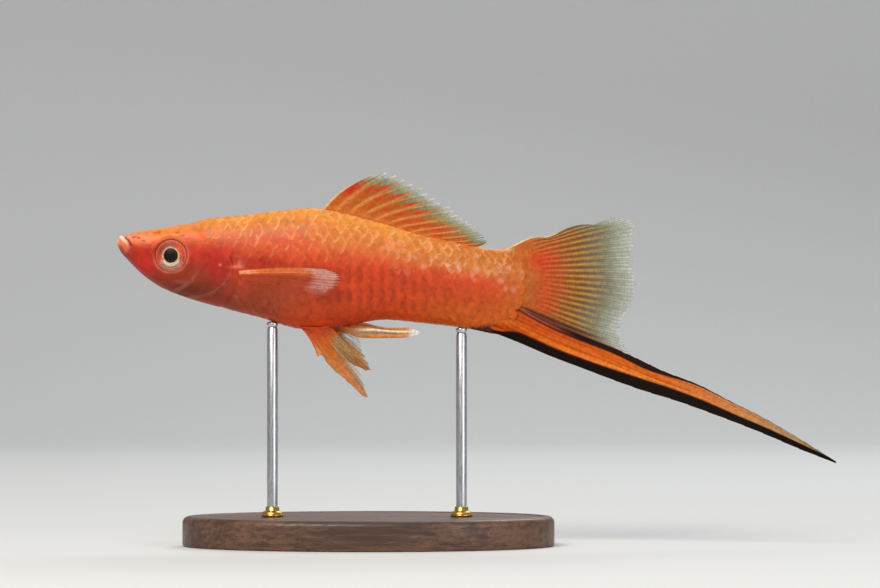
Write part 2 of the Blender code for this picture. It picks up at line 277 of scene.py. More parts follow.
def capped(rings: int, sides: int) -> list:
    """Faces of a stack of closed rings, numbered ring by ring, with a point at either end after them.

    Args:
        rings: How many rings there are.
        sides: Points in each ring.

    Returns:
        Arrays of point numbers.
    """
    count, around = rings * sides, np.arange(sides)
    ends = [fan(count, around, back=True), fan(count + 1, around + count - sides)]
    return [net(rings, sides, wrap=True), *ends]


@dataclass
class Shape:
    """A mesh in the making: (n, 3) points, faces as (m, 3) or (m, 4) point numbers, and what is on them.

    Each point may have named linear colours, (n, 3), named values, (n,), and named flat maps, (n, 2).
    """

    points: Array
    faces: list
    colours: dict = field(default_factory=dict)
    values: dict = field(default_factory=dict)
    maps: dict = field(default_factory=dict)

    def volume(self) -> float:
        """Volume inside the faces: the sum of a . (b x c) / 6 over their triangles.

        Returns:
            The volume, negative where the faces point inwards.
        """
        total = 0.0
        for group in self.faces:
            corners = self.points[group]
            for k in range(1, group.shape[1] - 1):
                cross = np.cross(corners[:, k], corners[:, k + 1])
                total += np.einsum("ij,ij->", corners[:, 0], cross) / 6
        return total

    def made(self, name: str, material: bpy.types.Material, slot: str,
             nodes: tuple = ()) -> bpy.types.Object:
        """Makes the object, its faces outwards, and lets it ride with the body.

        Args:
            name: The piece's name.
            material: Its finish.
            slot: The record's material slot, which is not used here.
            nodes: The solids that it stands for.

        Returns:
            The new object.
        """
        if self.volume() < 0:
            self.faces = [group[:, ::-1] for group in self.faces]
        mesh = bpy.data.meshes.new(name)
        loops = np.concatenate([group.ravel() for group in self.faces])
        sizes = np.concatenate([np.full(len(group), group.shape[1]) for group in self.faces])
        mesh.vertices.add(len(self.points))
        mesh.vertices.foreach_set("co", placed(self.points).ravel())
        mesh.loops.add(len(loops))
        mesh.loops.foreach_set("vertex_index", loops)
        mesh.polygons.add(len(sizes))
        mesh.polygons.foreach_set("loop_start", np.concatenate([[0], np.cumsum(sizes)[:-1]]))
        mesh.update(calc_edges=True)
        for key, colour in self.colours.items():
            full = np.concatenate([np.clip(colour, 0, 1), np.ones((len(colour), 1))], axis=1)
            mesh.attributes.new(key, "FLOAT_COLOR", "POINT").data.foreach_set("color", full.ravel())
        for key, value in self.values.items():
            mesh.attributes.new(key, "FLOAT", "POINT").data.foreach_set("value", value.ravel())
        for key, flat in self.maps.items():
            mesh.uv_layers.new(name=key).data.foreach_set("uv", flat[loops].ravel())
        mesh.shade_smooth()
        mesh.materials.append(material)
        mesh.validate()
        piece = bpy.data.objects.new(name, mesh)
        bpy.context.scene.collection.objects.link(piece)
        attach(piece, ROOT_BODY)
        if nodes:
            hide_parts(*nodes)
        log.info("%s: %d triangles", name, (sizes - 2).sum())
        return piece


def joined(shapes: list) -> Shape:
    """One shape of several that carry the same colours, values and maps.

    Args:
        shapes: The shapes.

    Returns:
        The joined shape.
    """
    starts = np.concatenate([[0], np.cumsum([len(shape.points) for shape in shapes])[:-1]])
    faces = [group + start for shape, start in zip(shapes, starts) for group in shape.faces]
    whole = Shape(np.concatenate([shape.points for shape in shapes]), faces)
    for kind in ("colours", "values", "maps"):
        for key in getattr(shapes[0], kind):
            getattr(whole, kind)[key] = np.concatenate([getattr(shape, kind)[key] for shape in shapes])
    return whole


def twice(part: Array) -> Array:
    """What is painted on one face of a slab, for both of its faces."""
    return np.concatenate([part, part])


def slab(sheet: Array, offset: Array) -> tuple:
    """Moves a grid of points out to both sides, and stitches the two faces round their edge.

    Args:
        sheet: (rows, columns, 3) points of the middle surface.
        offset: (rows, columns, 3) steps from there to the first face.

    Returns:
        The points, and the faces.
    """
    rows, columns = sheet.shape[:2]
    points = np.concatenate([(sheet + offset).reshape(-1, 3), (sheet - offset).reshape(-1, 3)])
    count = rows * columns
    front = net(rows, columns)
    rim = np.concatenate([
        np.arange(columns - 1),
        np.arange(rows - 1) * columns + columns - 1,
        (rows - 1) * columns + np.arange(columns - 1, 0, -1),
        np.arange(rows - 1, 0, -1) * columns,
    ])
    after = np.roll(rim, -1)
    edge = stacked(after, rim, rim + count, after + count)
    return points, [front, front[:, ::-1] + count, edge]


def turned(profile: Array, sides: int, middle: tuple, axis: tuple = (0, 0, 1)) -> Shape:
    """A closed shape turned about an axis: each (radius, height) point of the profile becomes a ring.

    Args:
        profile: (n, 2) points that start and end on the axis.
        sides: Points in each ring.
        middle: Where the profile's origin lies.
        axis: Direction of the profile's height.

    Returns:
        The closed shape.
    """
    axis = np.array(axis, float) / np.linalg.norm(axis)
    first = np.cross(axis, (0, 0, 1) if abs(axis[2]) < 0.9 else (0, 1, 0))
    first /= np.linalg.norm(first)
    second = np.cross(axis, first)
    angle = np.linspace(0, 2 * math.pi, sides, endpoint=False)
    spin = np.cos(angle)[:, None] * first + np.sin(angle)[:, None] * second
    rings = profile[1:-1, 0][:, None, None] * spin + (profile[1:-1, 1][:, None] * axis)[:, None]
    ends = profile[[0, -1], 1][:, None] * axis
    points = np.concatenate([rings.reshape(-1, 3), ends]) + middle
    return Shape(points, capped(len(profile) - 2, sides))


# Finishes


# Settings of the nodes that come up most: a product, a smooth change of range, and a Mix of colours with
# the second one laid over the first or multiplied into it.
TIMES = {"operation": "MULTIPLY"}
SMOOTH = {"interpolation_type": "SMOOTHSTEP"}
OVER = {"out": 2, "data_type": "RGBA", "blend_type": "MIX"}
INTO = {"out": 2, "data_type": "RGBA", "blend_type": "MULTIPLY"}


def add_node(tree: bpy.types.NodeTree, kind: str, inputs: dict | tuple = (), out: int | str = 0,
             **settings) -> bpy.types.NodeSocket:
    """Adds a shader node, with its settings, values and links.

    Args:
        tree: The material's nodes.
        kind: The node's type, without "ShaderNode".
        inputs: Values, or the sockets that feed them: by the inputs' names or numbers, or in order.
        out: Name or number of the output that is wanted.
        settings: The node's own properties.

    Returns:
        The output's socket.
    """
    node = tree.nodes.new("ShaderNode" + kind)
    for key, value in settings.items():
        setattr(node, key, value)
    for key, value in inputs.items() if isinstance(inputs, dict) else enumerate(inputs):
        if isinstance(value, bpy.types.NodeSocket):
            tree.links.new(value, node.inputs[key])
        else:
            node.inputs[key].default_value = value
    return node.outputs[out]


@dataclass(frozen=True)
class Finish:
    """What every finish has: its name, its gloss and how far light goes into it.

    "roughness" is the lowest and the highest over the surface, and "coat" a wet or lacquered layer on top.
    "soft" is the share of the light that scatters under the surface. Red, green and blue go in as far as
    soft_radius says, as shares of soft_scale, which is in metres. "specular" is 0.5 for most things in air.
    """

    name: str
    roughness: tuple = (0.35, 0.45)
    coat: float = 0.0
    coat_roughness: float = 0.1
    metallic: float = 0.0
    soft: float = 0.0
    specular: float = 0.5
    soft_radius: tuple = (1.0, 0.35, 0.15)
    soft_scale: float = 0.0007

    def made(self) -> bpy.types.Material:
        """Makes the material: one Principled shader with its plain values and what dress() feeds it.

        Returns:
            The new material.
        """
        material = bpy.data.materials.new(self.name)
        material.use_nodes = True
        tree = material.node_tree
        shader = tree.nodes["Principled BSDF"]
        plain = {
            "Metallic": self.metallic, "Specular IOR Level": self.specular, "Coat Weight": self.coat,
            "Coat Roughness": self.coat_roughness, "Subsurface Weight": self.soft,
            "Subsurface Radius": self.soft_radius, "Subsurface Scale": self.soft_scale,
        }
        for key, value in plain.items():
            shader.inputs[key].default_value = value
        add = partial(add_node, tree)
        fed = self.dress(add)
        fed["Roughness"] = add("MapRange", (fed["Roughness"], 0.3, 0.7, *self.roughness), **SMOOTH)
        if "Normal" in fed:
            height, depth, strength = fed["Normal"]
            relief = {"Height": height, "Distance": depth * METRES, "Strength": strength}
            fed["Normal"] = add("Bump", relief)
        for key, socket in fed.items():
            tree.links.new(socket, shader.inputs[key])
        return material

    def dress(self, add: Callable) -> dict:
        """Adds the nodes that give the look; each finish has its own.

        Args:
            add: Adds a node to this material.

        Returns:
            The shader's inputs by name, with the sockets that feed them. "Roughness" is a pattern about
            0.5 that picks between the two ends, and "Normal" a height, its millimetres and strength.
        """
        raise NotImplementedError

    def millimetres(self, add: Callable, stretch: tuple = (1, 1, 1)) -> bpy.types.NodeSocket:
        """Object coordinates in millimetres, stretched along each axis."""
        space = add("TexCoord", out="Object")
        return add("Mapping", {"Vector": space, "Scale": tuple(1000 * part for part in stretch)})


@dataclass(frozen=True)
class FishSkin(Finish):
    """Bare wet fish skin: smooth, slimy, with pin-prick colour cells of about 0.2 mm."""

    cell: float = 0.24

    def dress(self, add: Callable) -> dict:
        """The painted colour, broken by soft mottling and by darker colour cells.

        Args:
            add: Adds a node to this material.

        Returns:
            The shader's inputs by name, with what feeds them.
        """
        where = self.millimetres(add)
        paint = add("Attribute", attribute_name="Paint")
        cloud = add("TexNoise", {"Vector": where, "Scale": 0.9, "Detail": 5.0})
        cells = add("TexVoronoi", {"Vector": where, "Scale": 1 / self.cell})
        light = add("MapRange", (cloud, 0.3, 0.7, 0.84, 1.12), **SMOOTH)
        toned = add("Mix", {0: 1.0, 6: paint, 7: light}, **INTO)
        dots = add("MapRange", (cells, 0.18, 0.42, 0.26, 0.0), **SMOOTH)
        speck = add("Mix", {0: 1.0, 6: toned, 7: (0.62, 0.35, 0.3, 1)}, **INTO)
        grain = add("TexNoise", {"Vector": where, "Scale": 3.0, "Detail": 4.0})
        return {
            "Base Color": add("Mix", {0: dots, 6: toned, 7: speck}, **OVER),
            "Roughness": cloud,
            "Normal": (grain, 0.05, 0.5),
        }


@dataclass(frozen=True)
class FishScale(Finish):
    """A clear, wet, round scale over coloured skin: fine rings, a rim of pale net up high and painted shade
    low down, and a painted glint now and then.
    """

    rings: float = 7.0
    # Colour of the painted glint.
    pearl: str = "#EBC6B4"

    def dress(self, add: Callable) -> dict:
        """Paint in the middle, the rim's colour at the edge, and a painted glint, a pearly spot of
        reflected light, where "Glint" says.

        Args:
            add: Adds a node to this material.

        Returns:
            The shader's inputs by name, with what feeds them.
        """
        where = self.millimetres(add)
        disc = add("UVMap", uv_map="Disc")
        paint, rim = (add("Attribute", attribute_name=name) for name in ("Paint", "Rim"))
        netted, glint = (add("Attribute", out="Fac", attribute_name=name) for name in ("Net", "Glint"))
        cloud = add("TexNoise", {"Vector": where, "Scale": 1.3, "Detail": 4.0})
        light = add("MapRange", (cloud, 0.3, 0.7, 0.86, 1.12), **SMOOTH)
        toned = add("Mix", {0: 1.0, 6: paint, 7: light}, **INTO)
        broken = add("TexNoise", {"Vector": where, "Scale": 0.9, "Detail": 3.0})
        broken = add("MapRange", (broken, 0.38, 0.62, 0.05, 1.15), **SMOOTH)
        reach = add("VectorMath", (disc,), "Value", operation="LENGTH")
        edge = add("MapRange", (reach, 0.5, 0.98, 0.0, 1.0), **SMOOTH)
        edge = add("Math", (add("Math", (edge, netted), **TIMES), broken), **TIMES)
        lined = add("Mix", {0: edge, 6: toned, 7: rim}, **OVER)
        away = add("VectorMath", (disc, (0.45, 0, 0)), "Value", operation="DISTANCE")
        spot = add("MapRange", (away, 0.85, 0.05, 0.0, 0.9), **SMOOTH)
        spot = add("Math", (add("Math", (spot, glint), **TIMES), broken), **TIMES)
        wave = add("Math", (add("Math", (reach, self.rings * 2 * math.pi), **TIMES),), operation="SINE")
        return {
            "Base Color": add("Mix", {0: spot, 6: lined, 7: (*linear(self.pearl), 1)}, **OVER),
            "Roughness": cloud,
            "Normal": (wave, 0.008, 0.22),
        }


@dataclass(frozen=True)
class FinWeb(Finish):
    """Fin rays and the clear web between them: rays jointed like bamboo, with a wet shine."""

    joint: float = 0.55

    def dress(self, add: Callable) -> dict:
        """The painted colour with the rays' joints across it, and as clear as "Cover" says.

        Args:
            add: Adds a node to this material.

        Returns:
            The shader's inputs by name, with what feeds them.
        """
        paint = add("Attribute", attribute_name="Paint")
        cover, ridge = (add("Attribute", out="Fac", attribute_name=name) for name in ("Cover", "Ray"))
        length = add("SeparateXYZ", (add("UVMap", uv_map="Web"),), "Y")
        beat = add("Math", (add("Math", (length, 2 * math.pi / self.joint), **TIMES),), operation="SINE")
        joint = add("Math", (add("MapRange", (beat, 0.55, 1.0, 0.0, 0.4), **SMOOTH), ridge), **TIMES)
        dark = add("Mix", {0: 1.0, 6: paint, 7: (0.5, 0.34, 0.25, 1)}, **INTO)
        jointed = add("Mix", {0: joint, 6: paint, 7: dark}, **OVER)
        cloud = add("TexNoise", {"Vector": self.millimetres(add), "Scale": 1.6, "Detail": 4.0})
        light = add("MapRange", (cloud, 0.3, 0.7, 0.82, 1.14), **SMOOTH)
        return {
            "Base Color": add("Mix", {0: 1.0, 6: jointed, 7: light}, **INTO),
            "Alpha": cover,
            "Roughness": cloud,
            "Normal": (cloud, 0.03, 0.5),
        }


@dataclass(frozen=True)
class EyeBall(Finish):
    """Iris and lens under a wet cornea: fine threads of colour round a black lens."""

    def dress(self, add: Callable) -> dict:
        """The painted iris, broken by fine metallic flecks of about 0.1 mm.

        Args:
            add: Adds a node to this material.

        Returns:
            The shader's inputs by name, with what feeds them.
        """
        paint = add("Attribute", attribute_name="Paint")
        fleck = add("TexNoise", {"Vector": self.millimetres(add), "Scale": 5.0, "Detail": 5.0})
        light = add("MapRange", (fleck, 0.35, 0.65, 0.7, 1.2), **SMOOTH)
        relief = add("MapRange", (add("RGBToBW", (paint,)), 0.01, 0.12, 0.0, 0.04), **SMOOTH)
        return {
            "Base Color": add("Mix", {0: 1.0, 6: paint, 7: light}, **INTO),
            "Roughness": fleck,
            "Normal": (fleck, 0.03, relief),
        }


@dataclass(frozen=True)
class Cornea(Finish):
    """The clear wet window over the eye: it shows what is behind it and mirrors the lights."""

    index: float = 1.22

    def made(self) -> bpy.types.Material:
        """Makes it clear, with a mirror on top that grows towards the rim as it does on water.

        Returns:
            The new material.
        """
        material = bpy.data.materials.new(self.name)
        material.use_nodes = True
        tree = material.node_tree
        tree.nodes.remove(tree.nodes["Principled BSDF"])
        mirror = add_node(tree, "BsdfGlossy", {"Roughness": self.roughness[0]})
        share = add_node(tree, "Fresnel", {"IOR": self.index})
        mix = add_node(tree, "MixShader", (share, add_node(tree, "BsdfTransparent"), mirror))
        tree.links.new(mix, tree.nodes["Material Output"].inputs["Surface"])
        return material


@dataclass(frozen=True)
class Walnut(Finish):
    """Dark walnut, sawn, sanded and oiled: grain streaks of 1 to 3 mm along it, with short dark pores."""

    pale: str = "#6E4A33"
    dark: str = "#40281B"
    pore: tuple = (0.012, 0.006, 0.004, 1)

    def dress(self, add: Callable) -> dict:
        """Streaks drawn out along X in two sizes, with fine pores cut into them.

        Args:
            add: Adds a node to this material.

        Returns:
            The shader's inputs by name, with what feeds them.
        """
        broad, narrow, fine = (
            {"Vector": self.millimetres(add, stretch), "Scale": 1.0, "Detail": 3.0}
            for stretch in ((0.014, 0.3, 0.3), (0.03, 1.5, 1.5), (0.35, 6.0, 6.0))
        )
        bands = add("Math", (add("TexNoise", broad | {"Distortion": 0.4}), add("TexNoise", narrow)))
        streak = add("MapRange", (bands, 0.75, 1.25, 0.0, 1.0), **SMOOTH)
        wood = add("Mix", {0: streak, 6: (*linear(self.dark), 1), 7: (*linear(self.pale), 1)}, **OVER)
        pores = add("TexNoise", fine)
        pit = add("MapRange", (pores, 0.56, 0.66, 0.0, 0.65), **SMOOTH)
        sunk = add("MapRange", (pores, 0.54, 0.66, 1.0, 0.0), **SMOOTH)
        return {
            "Base Color": add("Mix", {0: pit, 6: wood, 7: self.pore}, **OVER),
            "Roughness": pores,
            "Normal": (sunk, 0.05, 0.6),
        }


@dataclass(frozen=True)
class DrawnMetal(Finish):
    """Bright drawn rod or turned ring: fine lines left by the die or the tool."""

    tint: str = "#C9CACC"
    lines: tuple = (14.0, 14.0, 0.4)

    def dress(self, add: Callable) -> dict:
        """A plain metal whose fine lines blur the shine.

        Args:
            add: Adds a node to this material.

        Returns:
            The shader's inputs by name, with what feeds them.
        """
        where = self.millimetres(add, self.lines)
        line = add("TexNoise", {"Vector": where, "Scale": 1.0, "Detail": 3.0})
        light = add("MapRange", (line, 0.3, 0.7, 0.8, 1.05), **SMOOTH)
        return {
            "Base Color": add("Mix", {0: 1.0, 6: (*linear(self.tint), 1), 7: light}, **INTO),
            "Roughness": line,
            "Normal": (line, 0.01, 0.4),
        }


@dataclass(frozen=True)
class StudioPaper(Finish):
    """Pale seamless paper that curves up behind the model."""

    tint: str = "#D9DCDD"

    def dress(self, add: Callable) -> dict:
        """A pale grey with a faint tooth of about 1 mm.

        Args:
            add: Adds a node to this material.

        Returns:
            The shader's inputs by name, with what feeds them.
        """
        tooth = add("TexNoise", {"Vector": self.millimetres(add), "Scale": 0.8, "Detail": 4.0})
        light = add("MapRange", (tooth, 0.3, 0.7, 0.985, 1.0), **SMOOTH)
        return {
            "Base Color": add("Mix", {0: 1.0, 6: (*linear(self.tint), 1), 7: light}, **INTO),
            "Roughness": tooth,
        }


# The fish's flesh


@dataclass(frozen=True)
class BodyForm:
    """The body as a function of the distance along it and an angle round it, as the solids have it."""

    back: tuple = (
        (0.0, 0.5), (1.4, 0.75), (2.3, 1.15), (3.9, 1.45), (8.9, 2.25), (12.3, 2.9), (15.6, 3.7),
        (20.6, 4.17), (27.2, 5.0), (33.2, 5.4), (38.9, 4.3), (43.9, 3.0), (50.6, 1.0), (57.2, -0.42),
        (62.5, -1.3), (65.5, -1.45), (67.0, -1.2),
    )
    belly: tuple = (
        (0.0, -1.3), (0.6, -2.1), (1.4, -2.85), (2.3, -3.8), (3.9, -5.4), (7.3, -7.85), (10.6, -9.25),
        (17.2, -11.25), (23.9, -13.0), (30.6, -14.9), (33.9, -15.0), (38.9, -14.3), (43.9, -13.4),
        (50.6, -13.9), (57.2, -14.6), (62.5, -15.2), (67.0, -15.8),
    )
    widest: tuple = (
        (0.0, -0.45), (4.0, -1.6), (9.0, -2.7), (20.0, -4.0), (33.0, -5.0), (45.0, -5.5),
        (57.0, -7.3), (67.0, -8.6),
    )
    half_width: tuple = (
        (0.0, 1.5), (1.5, 1.95), (4.0, 2.8), (6.5, 3.4), (9.0, 3.8), (13.0, 4.3), (18.0, 4.7),
        (24.0, 4.95), (30.0, 5.0), (36.0, 4.8), (42.0, 4.25), (48.0, 3.55), (54.0, 2.85),
        (60.0, 2.1), (64.0, 1.5), (67.0, 1.0),
    )
    crown: tuple = ((0.0, 2.0), (4.0, 2.5), (12.0, 2.5), (22.0, 2.1), (67.0, 2.0))
    nose_level: float = -0.45
    nose_rounding: float = 1.4
    stalk_start: float = 55.0
    stalk_top: float = -1.2
    stalk_foot: float = -15.8
    end_arc: tuple = (66.92, 0.92, -2.58)

    def stalk_end(self, height: Array) -> Array:
        """Where the tail stalk ends at a height: it bulges back between its top and its foot."""
        t = 2 * (height - self.stalk_foot) / (self.stalk_top - self.stalk_foot) - 1
        return self.end_arc[0] + self.end_arc[1] * t + self.end_arc[2] * t**2

    def rise(self, along: Array, height: Array) -> Array:
        """How high a point lies between the belly, 0, and the back, 1."""
        back, belly = through(self.back, along), through(self.belly, along)
        return np.clip((height - belly) / (back - belly), 0, 1)

    def point(self, along: Array, angle: Array) -> Array:
        """Points on the body: a squared ellipse about the widest level, rounded like a ball at the nose.

        Args:
            along: Distance from the snout.
            angle: 0 points to the fish's right and a quarter turn to its back.

        Returns:
            (..., 3) points.
        """
        along, angle = np.broadcast_arrays(np.asarray(along, float), np.asarray(angle, float))
        tip = np.clip(1 - along / self.nose_rounding, 0, 1)
        rounding = np.sqrt(1 - tip**2)
        back, belly = through(self.back, along), through(self.belly, along)
        widest, half = through(self.widest, along), through(self.half_width, along)
        power = np.where(np.sin(angle) > 0, through(self.crown, along), 2.0)
        cos, sin = np.cos(angle), np.sin(angle)
        shrink = (np.abs(cos) ** power + np.abs(sin) ** power) ** (-1 / power)
        reach = np.where(sin > 0, back - widest, widest - belly)
        height = widest + reach * sin * shrink
        height = self.nose_level + (height - self.nose_level) * rounding
        share = np.clip((along - self.stalk_start) / (STALK_END - self.stalk_start), 0, 1)
        bend = share**2 * (3 - 2 * share) * (self.stalk_end(height) - STALK_END)
        return stacked(along + bend, half * cos * shrink * rounding, height)

    def per_turn(self, along: Array, angle: Array, step: float = 0.02) -> Array:
        """Millimetres per radian round the body, by a small difference."""
        turn = self.point(along, angle + step) - self.point(along, angle - step)
        return np.linalg.norm(turn, axis=-1) / (2 * step)


@dataclass(frozen=True)
class HeadRelief:
    """What stands out of the head or is cut into it, as a height over the body's plain form."""

    eye: tuple = (9.28, -2.62)
    mouth: tuple = ((1.1, 0.85), (1.5, 0.45), (2.13, -0.1), (2.56, -0.9))
    gill_edge: tuple = (
        (14.6, -0.4), (17.6, -1.0), (19.2, -2.9), (19.6, -4.8), (18.6, -7.0), (16.9, -8.5),
        (14.8, -9.3), (12.2, -9.6),
    )
    cheek_fold: tuple = ((14.6, -1.6), (14.5, -3.6), (13.2, -5.9), (11.6, -7.6), (9.6, -8.6))
    girdle: tuple = ((20.4, -3.0), (20.9, -4.4), (20.9, -6.5), (20.5, -8.8), (19.6, -10.6))
    jaw_fold: tuple = ((2.56, -0.9), (2.8, -1.7), (2.85, -2.6))
    throat: tuple = ((17.0, 2.6), (13.0, 1.7), (10.0, 0.85), (8.0, 0.0))
    nostrils: tuple = ((2.95, 0.45), (3.85, 0.35))
    pores: tuple = (
        (6.5, 1.2), (7.2, 1.28), (10.4, 1.25), (11.2, 0.7), (12.2, 0.1), (14.4, 1.45), (4.6, -0.2),
        (5.4, -0.9),
    )

    def slit(self, along: Array, height: Array) -> tuple:
        """Where points lie from the mouth's line in side view.

        Args:
            along: Distance from the snout.
            height: Height over the mouth.

        Returns:
            The distance, positive above the line, and how much a point belongs to the mouth.
        """
        line = path(self.mouth, np.linspace(0, 1, 24))
        above = np.where(height > np.interp(along, line[:, 0], line[:, 1]), 1, -1)
        near = smooth(3.5, 2.6, along + 0.25 * (height + 0.3) ** 2)
        return above * distance_to(line, along, height), near

    def orbit(self, along: Array, height: Array) -> Array:
        """Distance from the eye's middle, waved by two sines of the direction so that its rim is uneven.

        Args:
            along: Distance from the snout.
            height: Height over the mouth.

        Returns:
            The distance.
        """
        x, z = along - self.eye[0], height - self.eye[1]
        turn = np.arctan2(z, x)
        return np.hypot(x, z) - 0.03 * np.sin(2 * turn + 0.8) - 0.02 * np.sin(5 * turn)

    def lines(self, along: Array, height: Array) -> dict:
        """Distance of points in side view to each of the head's lines.

        Args:
            along: Distance from the snout.
            height: Height over the mouth.

        Returns:
            Distances by the line's name.
        """
        shares = np.linspace(0, 1, 24)
        named = {
            "gill": self.gill_edge, "cheek": self.cheek_fold, "girdle": self.girdle, "jaw": self.jaw_fold,
        }
        return {key: distance_to(path(line, shares), along, height) for key, line in named.items()}

    def tilt(self, along: Array, height: Array) -> Array:
        """How far up and forward of the eye's middle a point lies."""
        return height - self.eye[1] - 0.6 * (along - self.eye[0])

    def height(self, points: Array) -> Array:
        """The relief, in millimetres, at points on the head.

        Args:
            points: (..., 3) points on the plain form.

        Returns:
            Heights over it, negative where it is cut in.
        """
        along, side, level = points[..., 0], np.abs(points[..., 1]), points[..., 2]
        lines = self.lines(along, level)
        across, mouth = self.slit(along, level)
        lips = mouth * smooth(3.0, 1.5, along)
        lift = -0.36 * bell(across, 0.15) * mouth
        lift += 0.12 * bell(across - 0.44, 0.26) * lips
        lift += 0.17 * bell(across + 0.5, 0.34) * lips
        lift -= 0.10 * bell(across + 1.08, 0.22) * lips
        lift -= 0.06 * bell(across - 0.9, 0.18) * lips
        lift += 0.2 * bell(np.hypot(along - 0.35, level - 0.3), 0.5)
        lift -= 0.08 * bell(lines["jaw"], 0.14)
        ring = self.orbit(along, level)
        flank = smooth(0.6, 1.4, side)
        lift -= flank * (1.3 * smooth(2.6, 2.15, ring) + 0.34 * smooth(2.9, 2.45, ring))
        shade = 0.6 + 0.4 * smooth(-1.5, 1.5, self.tilt(along, level))
        lift += flank * shade * (0.08 * bell(ring - 3.0, 0.17) - 0.05 * bell(ring - 3.42, 0.22))
        shares = np.linspace(0, 1, 40)
        cover = np.concatenate([path(self.gill_edge, shares), [(12.0, -5.0), (13.0, -1.5)]])
        within = inside(cover, along, level)
        free = smooth(13.4, 15.2, along) * flank * (0.35 + 0.65 * smooth(-1.6, -3.6, level))
        lift += free * np.where(within, 0.12 * smooth(1.6, 0.12, lines["gill"]), 0)
        lift -= free * np.where(within, 0, 0.16 * bell(lines["gill"], 0.28))
        lift -= 0.06 * bell(lines["cheek"], 0.22) * flank
        lift += 0.04 * bell(lines["cheek"] - 0.45, 0.3) * flank
        lift -= 0.05 * bell(lines["girdle"], 0.2) * flank
        for spot in self.nostrils:
            away = np.hypot(along - spot[0], level - spot[1])
            lift -= 0.22 * bell(away, 0.13)
            lift += 0.05 * bell(away - 0.26, 0.09)
        for spot in self.pores:
            lift -= 0.07 * bell(np.hypot((along - spot[0]) / 1.6, level - spot[1]), 0.13)
        under = smooth(2.2, 1.2, level - through(BodyForm().belly, along))
        fold = distance_to(path(self.throat, shares), along, side)
        lift -= 0.16 * bell(fold, 0.2) * under
        return lift


